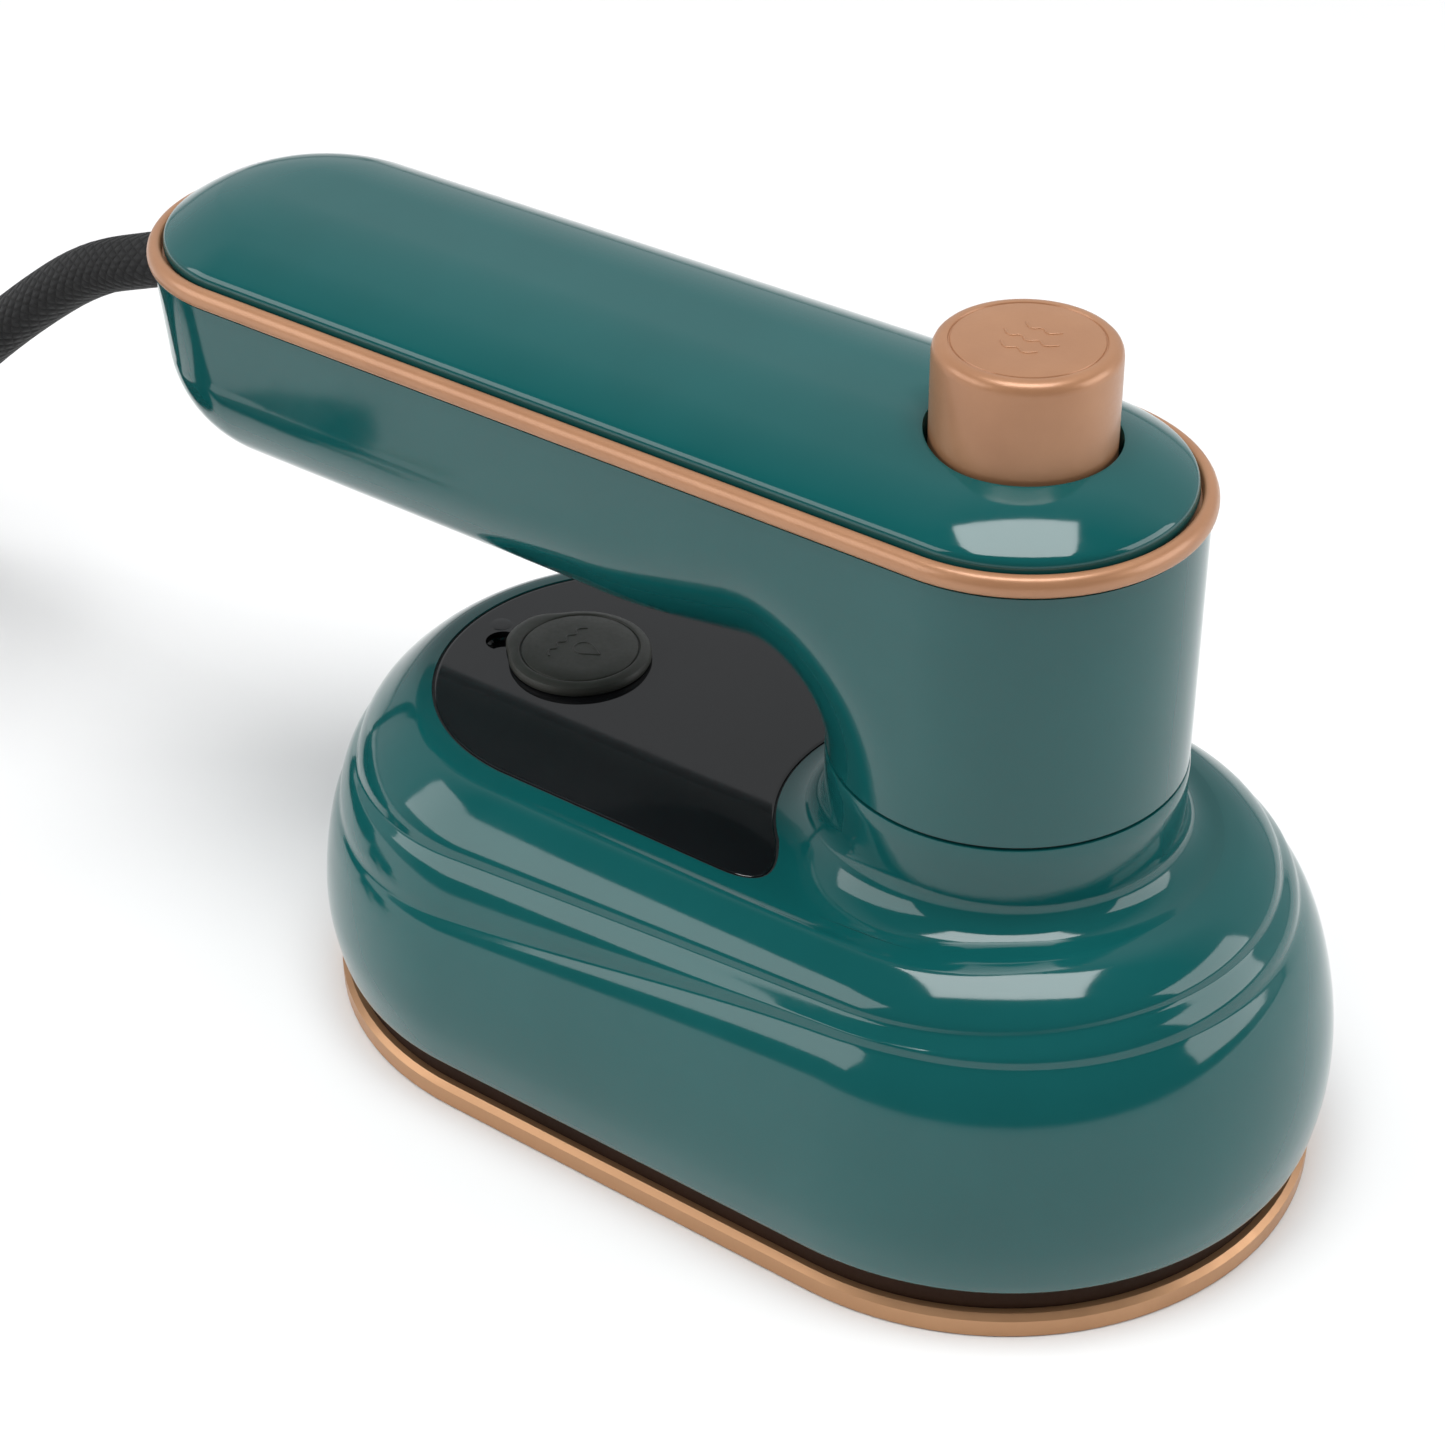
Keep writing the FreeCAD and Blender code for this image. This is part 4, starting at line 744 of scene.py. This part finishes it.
def window_outline(margin=0.0):
    """The smoked window's outline, grown by a margin."""
    radius = WINDOW_RADIUS + margin
    back = np.radians(np.linspace(92.0, 268.0, 60))
    line = [(-BASE_END + radius * math.cos(a), radius * math.sin(a)) for a in back]
    front_radius = HOLLOW_RADIUS - margin
    reach = math.degrees(math.asin(HOLLOW_HALF_WIDTH / front_radius))
    front = np.radians(np.linspace(180.0 + reach, 180.0 - reach, 30))
    hollow = [(HOLLOW_X + front_radius * math.cos(a), front_radius * math.sin(a)) for a in front]
    side_end, corner_x = 3.0, WINDOW_CORNER_X + margin
    low = soft_corners([(side_end, -radius), (corner_x, -radius), hollow[0]], [0.85], 12)[1:-1]
    high = soft_corners([hollow[-1], (corner_x, radius), (side_end, radius)], [0.85], 12)[1:-1]
    low_side = [(x, -radius) for x in np.linspace(-26.0, 2.5, 10)]
    high_side = [(x, radius) for x, _ in low_side[::-1]]
    return np.array(line + low_side + low.tolist() + hollow + high.tolist() + high_side)


def slab(name, outline, low, high, body, slot, edge=0.25, hole=None):
    """A flat plate of this outline with eased top edges, and a round hole of (x, y, radius) through it."""
    outline = np.asarray(outline, float)
    centre = np.array(hole[:2]) if hole else outline.mean(axis=0)
    away = outline - centre
    reach = np.linalg.norm(away, axis=1, keepdims=True)
    direction = away / reach

    ease = edge * 0.3
    side = [(0.0, low), (0.0, low + 0.2), (0.0, high - edge - 0.2), (0.0, high - edge), (ease, high - ease),
            (edge, high), (edge + 0.15, high), (edge + 0.6, high)]
    rows = [centre_row(centre, direction, reach - inset, height) for inset, height in side]
    if hole is None:
        rows += [centre_row(centre, direction, reach * share, high) for share in (0.66, 0.33)]
        return loops(name, rows, body, slot, first=(*centre, low), last=(*centre, high))
    ring = np.full_like(reach, hole[2])
    for share in (0.3, 0.6, 0.85):
        rows.append(centre_row(centre, direction, reach + (ring - reach) * share, high))
    rows += [centre_row(centre, direction, ring + 0.3, high), centre_row(centre, direction, ring, high - 0.3),
             centre_row(centre, direction, ring, low)]
    return loops(name, rows, body, slot, closed=True)


def centre_row(centre, direction, reach, height):
    """One loop of points at a distance from the centre, all at one height."""
    flat = centre + direction * reach
    return np.concatenate([flat, np.full((len(flat), 1), height)], axis=1)


def base_shell():
    """The glossy green dome with its collar, cut out for the window."""
    shape = stadium(BASE_END, -BASE_END, 130, 70)
    profile, late = shell_profile(shape)
    outside = around(shape, profile)
    top = deck_rows(outside[-1], late)
    wall = np.array([(27.0, DECK_UNDERSIDE), (30.0, 38.8), (31.5, 36.0), (33.4, 32.0), (36.0, 24.0),
                     (38.7, 15.0), (38.7, 9.0)])
    rows = np.concatenate([outside, top, around(shape, wall)])
    shown = loops("dome", rows, "base", "green_plastic", closed=True, sharp=SHELL_CREASE)
    below, above = 38.0, 50.0
    cutter = slab("window_cutter", window_outline(WINDOW_GAP), below, above, "base", "green_plastic")
    carve(shown, cutter)
    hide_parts("base_shell")


def tank_window():
    """The smoked window over the water tank, with the filler port and the finger notch beside the stopper."""
    shown = slab("smoked_window", window_outline(), WINDOW_BOTTOM, WINDOW_TOP, "base", "smoked_window",
                 edge=0.35, hole=(PORT_X, 0.0, PORT_RADIUS))
    profile = [(1.9, 42.4), (2.2, 42.7), (2.2, 46.0)]
    notch = turned("notch_cutter", profile, NOTCH_PLACE, "base", "smoked_window", stations=48)
    carve(shown, notch)
    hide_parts("tank_window")


def window_gasket():
    """The thin dark seal in the gap round the window."""
    outer, inner = window_outline(0.27), window_outline(-0.05)
    seal_top = 43.38
    levels = [(outer, WINDOW_BOTTOM), (outer, seal_top), (inner, seal_top), (inner, WINDOW_BOTTOM)]
    rows = [np.concatenate([line, np.full((len(line), 1), height)], axis=1) for line, height in levels]
    loops("window_seal", rows, "base", "black_rubber", closed=True)


def filler_stopper():
    """The rubber stopper: a thin cap with a ring groove and a lip towards its hinge, on a round stem."""
    angle = np.linspace(-math.pi, math.pi, 144, endpoint=False)
    outline = STOPPER_RADIUS + STOPPER_LIP * np.exp(-((np.abs(angle) - math.pi) / 0.5) ** 4)

    def ring(radius, height):
        return np.stack([PORT_X + radius * np.cos(angle), radius * np.sin(angle),
                         np.full_like(angle, height)], axis=1)

    stem = [(5.0, STOPPER_BOTTOM), (6.2, STOPPER_BOTTOM), (6.5, 42.0), (6.5, 43.68)]
    rim = [(0.4, 43.68), (0.1, 43.75), (0.0, 43.95), (0.02, 44.4), (0.25, 44.85), (0.75, 45.12), (1.2, 45.2)]
    top = [(8.0, 45.2), (7.86, 45.14), (7.76, 44.94), (7.64, 44.94), (7.54, 45.14), (7.4, 45.2), (5.0, 45.24),
           (2.0, STOPPER_TOP)]
    rows = [ring(radius, height) for radius, height in stem]
    rows += [ring(outline - inset, height) for inset, height in rim]
    rows += [ring(radius, height) for radius, height in top]
    shown = loops("filler_cap", rows, "stopper", "stopper_rubber", first=(PORT_X, 0.0, STOPPER_BOTTOM),
                  last=(PORT_X, 0.0, STOPPER_TOP))
    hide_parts("filler_stopper")


def stopper_root():
    """The soft pad that holds the stopper's lip to the window, on a stem through it."""
    profile = [(1.2, 41.0), (1.5, 41.3), (1.5, 43.55), (1.4, 43.64), (1.2, 43.67), (0.5, 43.68)]
    shown = turned("stopper_root", profile, ROOT_PLACE, "base", "smoked_window", stations=64)
    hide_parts("stopper_anchor")


def stopper_mark():
    """A generic water drop over a wavy line, raised on the stopper."""
    def at(across, along):
        return (PORT_X + along, across, STOPPER_TOP - 0.05)

    drop = [at(0.0, 3.2), at(0.75, 1.9), at(1.35, 0.9), at(1.2, -0.3), at(0.0, -0.9),
            at(-1.2, -0.3), at(-1.35, 0.9), at(-0.75, 1.9), at(0.0, 3.2)]
    wave = [at(-4.0 + step, -2.6 + 0.7 * (-1) ** step) for step in range(9)]
    embossed("filler_mark", [drop, wave], "stopper", "stopper_rubber", 0.3)


# ---------------------------------------------------------------- the handle


def taper(x):
    """How much narrower the handle is than at the neck: nothing at the neck and most at the back end."""
    return HANDLE_TAPER * np.clip((NECK_X - x) / (NECK_X - HANDLE_BACK), 0.0, 1.0)


def handle_stations():
    """The stations round the handle's plan outline, and how much narrower the handle is at each of them."""
    shape = stadium(NECK_X, HANDLE_BACK, 120, 110)
    spine, east, _ = shape
    return shape, taper(spine + 20.0 * east)


def handle_distance(points):
    """Signed distance to the lower handle.

    Its plan outline and its side outline meet in a round edge that widens into the neck's full circle.
    """
    x, y, z = points[..., 0], points[..., 1], points[..., 2]
    along = np.clip(x, HANDLE_BACK, NECK_X)
    flare = np.clip((z - HANDLE_SIDE) / (HANDLE_SPLIT - HANDLE_SIDE), 0.0, 1.2)
    near_neck = smoothstep(x, *FLARE_RUN)
    half_width = HANDLE_HALF_WIDTH + HANDLE_FLARE * np.maximum(flare, near_neck) - taper(x)
    plan = np.hypot(x - along, y) - half_width
    below = HANDLE_UNDERSIDE - z
    behind = NECK_X - NECK_RADIUS - x
    side = NECK_FILLET - np.hypot(np.maximum(NECK_FILLET - below, 0.0), np.maximum(NECK_FILLET - behind, 0.0))
    edge = HANDLE_ROUND + (NECK_RADIUS - HANDLE_ROUND) * smoothstep(x, *EDGE_RUN)
    out, under = plan + edge, side + edge
    inner = np.minimum(np.maximum(out, under), 0.0)
    return np.hypot(np.maximum(out, 0.0), np.maximum(under, 0.0)) + inner - edge


def surface_net(distance, low, high, step):
    """The zero surface of a distance function as points and quads: one point in each cell that it crosses."""
    axes = [np.arange(a, b + step, step) for a, b in zip(low, high)]
    grid = np.stack(np.meshgrid(*axes, indexing="ij"), axis=-1)
    value = distance(grid)
    inside = value < 0.0
    cells = tuple(n - 1 for n in value.shape)
    total = np.zeros(cells + (3,))
    count = np.zeros(cells)
    corners = [(i, j, k) for i in (0, 1) for j in (0, 1) for k in (0, 1)]

    def part(array, corner):
        return array[tuple(slice(c, c + n) for c, n in zip(corner, cells))]

    for a in corners:
        for axis in range(3):
            if a[axis]:
                continue
            b = tuple(c + (i == axis) for i, c in enumerate(a))
            first, second = part(value, a), part(value, b)
            crossed = part(inside, a) != part(inside, b)
            share = np.where(crossed, first / np.where(crossed, first - second, 1.0), 0.0)
            point = part(grid, a) + share[..., None] * (part(grid, b) - part(grid, a))
            total += np.where(crossed[..., None], point, 0.0)
            count += crossed
    used = count > 0
    index = np.full(cells, -1)
    index[used] = np.arange(used.sum())
    points = total[used] / count[used][:, None]
    faces = []
    for axis in range(3):
        one, two = (axis + 1) % 3, (axis + 2) % 3
        here = [slice(None)] * 3
        there = [slice(None)] * 3
        here[axis], there[axis] = slice(None, -1), slice(1, None)
        crossed = inside[tuple(here)] != inside[tuple(there)]
        where = np.argwhere(crossed)
        keep = (where[:, one] > 0) & (where[:, two] > 0)
        keep &= (where[:, one] < cells[one]) & (where[:, two] < cells[two])
        where = where[keep]
        quad = []
        for back_one, back_two in ((1, 1), (0, 1), (0, 0), (1, 0)):
            cell = where.copy()
            cell[:, one] -= back_one
            cell[:, two] -= back_two
            quad.append(index[cell[:, 0], cell[:, 1], cell[:, 2]])
        faces += np.stack(quad, axis=1).tolist()
    return points, faces


def slope(distance, points, step=0.02):
    """The distance function's slope at each point."""
    change = []
    for axis in range(3):
        shift = np.zeros(3)
        shift[axis] = step
        change.append((distance(points + shift) - distance(points - shift)) / (2.0 * step))
    return np.stack(change, axis=-1)


def handle_lower():
    """The lower handle and neck in one smooth piece, cut flat at both ends, with the button's well."""
    spare, cell, margin = 1.6, 0.8, 24.0

    def whole(points):
        z = points[..., 2]
        solid = handle_distance(points)
        return np.maximum(solid, np.maximum(z - HANDLE_SPLIT - spare, NECK_BOTTOM - spare - z))

    low = (HANDLE_BACK - margin, -margin, NECK_BOTTOM - 4.0)
    high = (NECK_X + margin, margin, HANDLE_SPLIT + 4.0)
    points, faces = surface_net(whole, low, high, cell)
    for _ in range(4):
        ahead = slope(handle_distance, points)
        length = np.maximum((ahead ** 2).sum(axis=1, keepdims=True), 0.05)
        move = handle_distance(points)[:, None] * ahead / length
        side = (points[:, 2] < HANDLE_SPLIT + spare - 0.9) & (points[:, 2] > NECK_BOTTOM - spare + 0.9)
        points[side] -= np.clip(move[side], -cell / 2.0, cell / 2.0)
    shown = piece("handle_body", points, faces, "handle", "green_plastic", sharp=SHELL_CREASE)
    work = bmesh.new()
    work.from_mesh(shown.data)
    for height, normal in ((HANDLE_SPLIT, 1.0), (NECK_BOTTOM, -1.0)):
        cut = bmesh.ops.bisect_plane(work, geom=work.verts[:] + work.edges[:] + work.faces[:], dist=1e-7,
                                     plane_co=(0.0, 0.0, height * MM), plane_no=(0.0, 0.0, normal),
                                     clear_outer=True)
        rim = [edge for edge in cut["geom_cut"] if isinstance(edge, bmesh.types.BMEdge)]
        bmesh.ops.edgeloop_fill(work, edges=rim)
    bmesh.ops.recalc_face_normals(work, faces=work.faces)
    work.to_mesh(shown.data)
    work.free()
    profile = [(12.0, 87.4), (12.6, 88.0), (12.6, 93.0)]
    carve(shown, turned("button_well", profile, (NECK_X, 0.0, 0.0), "handle", "green_plastic"))
    exact_normals(shown.data, handle_distance)
    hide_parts("handle_lower")


def exact_normals(mesh, distance):
    """Shades a mesh by its distance function's own slope, and its flat cut ends by their faces."""
    mesh.shade_smooth()
    count = len(mesh.vertices)
    points = np.zeros(count * 3)
    mesh.vertices.foreach_get("co", points)
    ahead = slope(distance, points.reshape(-1, 3) / MM)
    ahead /= np.maximum(np.linalg.norm(ahead, axis=1, keepdims=True), 1e-9)
    normals = np.zeros((len(mesh.loops), 3))
    for face in mesh.polygons:
        straight = np.array(face.normal)
        for corner in face.loop_indices:
            curved = ahead[mesh.loops[corner].vertex_index]
            normals[corner] = curved if straight @ curved > 0.5 else straight
    mesh.normals_split_custom_set(normals.tolist())


def trim_band():
    """The rose gold band between the two halves of the handle."""
    shape, narrow = handle_stations()
    corners = [
        (19.0, 90.35), (20.8, 90.35), (20.8, 90.62), (21.5, 90.62), (21.95, 90.9), (22.0, 91.9),
        (21.5, 92.8), (20.8, 93.05), (20.25, 92.9), (20.1, 92.4), (20.1, 91.35), (19.0, 91.35),
    ]
    shares = [0.1, 0.2, 0.2, 0.5, 0.5, 0.5, 0.5, 0.5, 0.4, 0.1]
    rows = []
    for radius, height in soft_corners(corners, shares, 4):
        rows.append(np.stack([radius - narrow, np.full_like(narrow, height)], axis=1))
    shown = loops("trim_ring", around(shape, rows), "handle", "rose_gold", closed=True)
    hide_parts("trim_band")


def handle_cover():
    """The crowned green top of the handle, with the hole that the button stands in."""
    shape, narrow = handle_stations()
    shoulder, inner_radius = 18.9, 11.7

    def crown_height(aside):
        sideways = np.maximum(aside - CROWN_FLAT, 0.0)
        return CROWN_TOP - CROWN_ARC + np.sqrt(CROWN_ARC ** 2 - sideways ** 2)

    side = [(19.3, 91.4), (19.75, 91.6), (19.85, 93.75), (shoulder, crown_height(shoulder))]
    line = soft_corners(side, [0.5, 0.6], 6)[:-1].tolist()
    line += [(radius, crown_height(radius)) for radius in np.linspace(shoulder, inner_radius, 9)]
    rows = []
    for radius, height in line:
        fade = min(1.0, (radius - inner_radius) / 6.0)
        rows.append(np.stack([radius - narrow * fade, np.full_like(narrow, height)], axis=1))
    outside = around(shape, rows)
    away = outside[-1][:, :2] - NECK_AXIS
    reach = np.linalg.norm(away, axis=1)
    direction = away / reach[:, None]

    def crown(flat):
        along = np.clip(flat[:, 0], HANDLE_BACK, NECK_X)
        return crown_height(np.hypot(flat[:, 0] - along, flat[:, 1]))

    inner = []
    lip = BUTTON_HOLE + 0.35
    for share in np.linspace(1.0, 0.0, 26)[1:]:
        radius = lip + (reach - lip) * share
        flat = NECK_AXIS + direction * radius[:, None]
        inner.append(np.concatenate([flat, crown(flat)[:, None]], axis=1))
    ring = NECK_AXIS + direction * BUTTON_HOLE
    top = crown(ring)[:, None]
    inner.append(np.concatenate([NECK_AXIS + direction * (BUTTON_HOLE + 0.1), top - 0.08], axis=1))
    inner.append(np.concatenate([ring, top - 0.3], axis=1))
    inner.append(np.concatenate([ring, np.full_like(top, 94.6)], axis=1))
    under = around(shape, [np.stack([np.full_like(narrow, 16.5), np.full_like(narrow, 93.0)], axis=1),
                           np.stack([18.3 - narrow, np.full_like(narrow, 91.4)], axis=1)])
    rows = np.concatenate([outside, np.array(inner), under])
    shown = loops("handle_top", rows, "handle", "green_plastic", closed=True, sharp=SHELL_CREASE)
    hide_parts("handle_cover")


def steam_button():
    """The tall rose gold push button: hollow, with an eased rim and a thin ring groove in its top."""
    hollow = [(3.0, 107.5), (8.8, 107.5), (9.0, 107.3), (9.0, 93.6)]
    side = [(10.3, 93.6), (10.5, 93.9), (10.5, 97.0), (10.5, 101.0), (10.5, 105.0), (10.48, 108.4)]
    rim = [(10.4, 108.95), (10.2, 109.4), (9.85, 109.75), (9.4, 109.95), (8.95, 110.0)]
    groove = [(8.72, 109.97), (8.62, 109.8), (8.5, 109.8), (8.4, 109.95), (8.15, 109.98)]
    profile = hollow + side + rim + groove + [(6.0, 109.98), (3.0, 109.98)]
    shown = turned("push_button", profile, (NECK_X, 0.0, 0.0), "button", "rose_gold", stations=128)
    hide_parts("steam_button")


def button_spring():
    """The return spring, at the length that it has under the pressed button so that it stays inside it."""
    turns, per_turn = 5, 12
    radius = 5.0 / math.cos(math.pi / per_turn) ** 0.5
    low, tall = 90.6, 11.3
    coil = []
    for step in range(turns * per_turn + 1):
        angle = 2.0 * math.pi * step / per_turn
        coil.append((NECK_X + radius * math.cos(angle), radius * math.sin(angle),
                     low + tall * step / (turns * per_turn)))
    shown = embossed("button_spring", [coil], "handle", "spring_steel", 1.0)
    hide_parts("return_spring")


def button_mark():
    """A generic steam mark on the button: three rising waves, the middle one longer."""
    top = 109.97
    lines = []
    for offset, reach in ((-2.6, 4), (0.0, 6), (2.6, 4)):
        wave = []
        for step in range(reach + 1):
            along = 1.15 * (step - reach / 2.0)
            wave.append((NECK_X + along, offset + 0.7 * (-1) ** step, top))
        lines.append(wave)
    embossed("steam_mark", lines, "button", "rose_gold", 0.26)


# ---------------------------------------------------------------- all of it


def finish_cad_nodes():
    """Every CAD node that stays gets its slot's finish and smooth shading."""
    plain = FINISHES["dark_plastic"]
    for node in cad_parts.values():
        for slot in node.material_slots:
            named = slot.material.name.split(".")[0] if slot.material else ""
            slot.material = FINISHES.get(named, plain)
        node.data.set_sharp_from_angle(angle=math.radians(CAD_CREASE))


point_camera()
studio()
floor()
finish_cad_nodes()

lead = power_cord()
plug_shell = plug()
sleeve = plug_sleeve()
strap = coil_tie()
gland()

base_shell()
tank_window()
window_gasket()
filler_stopper()
stopper_root()
stopper_mark()
handle_lower()
trim_band()
handle_cover()
steam_button()
button_spring()
button_mark()
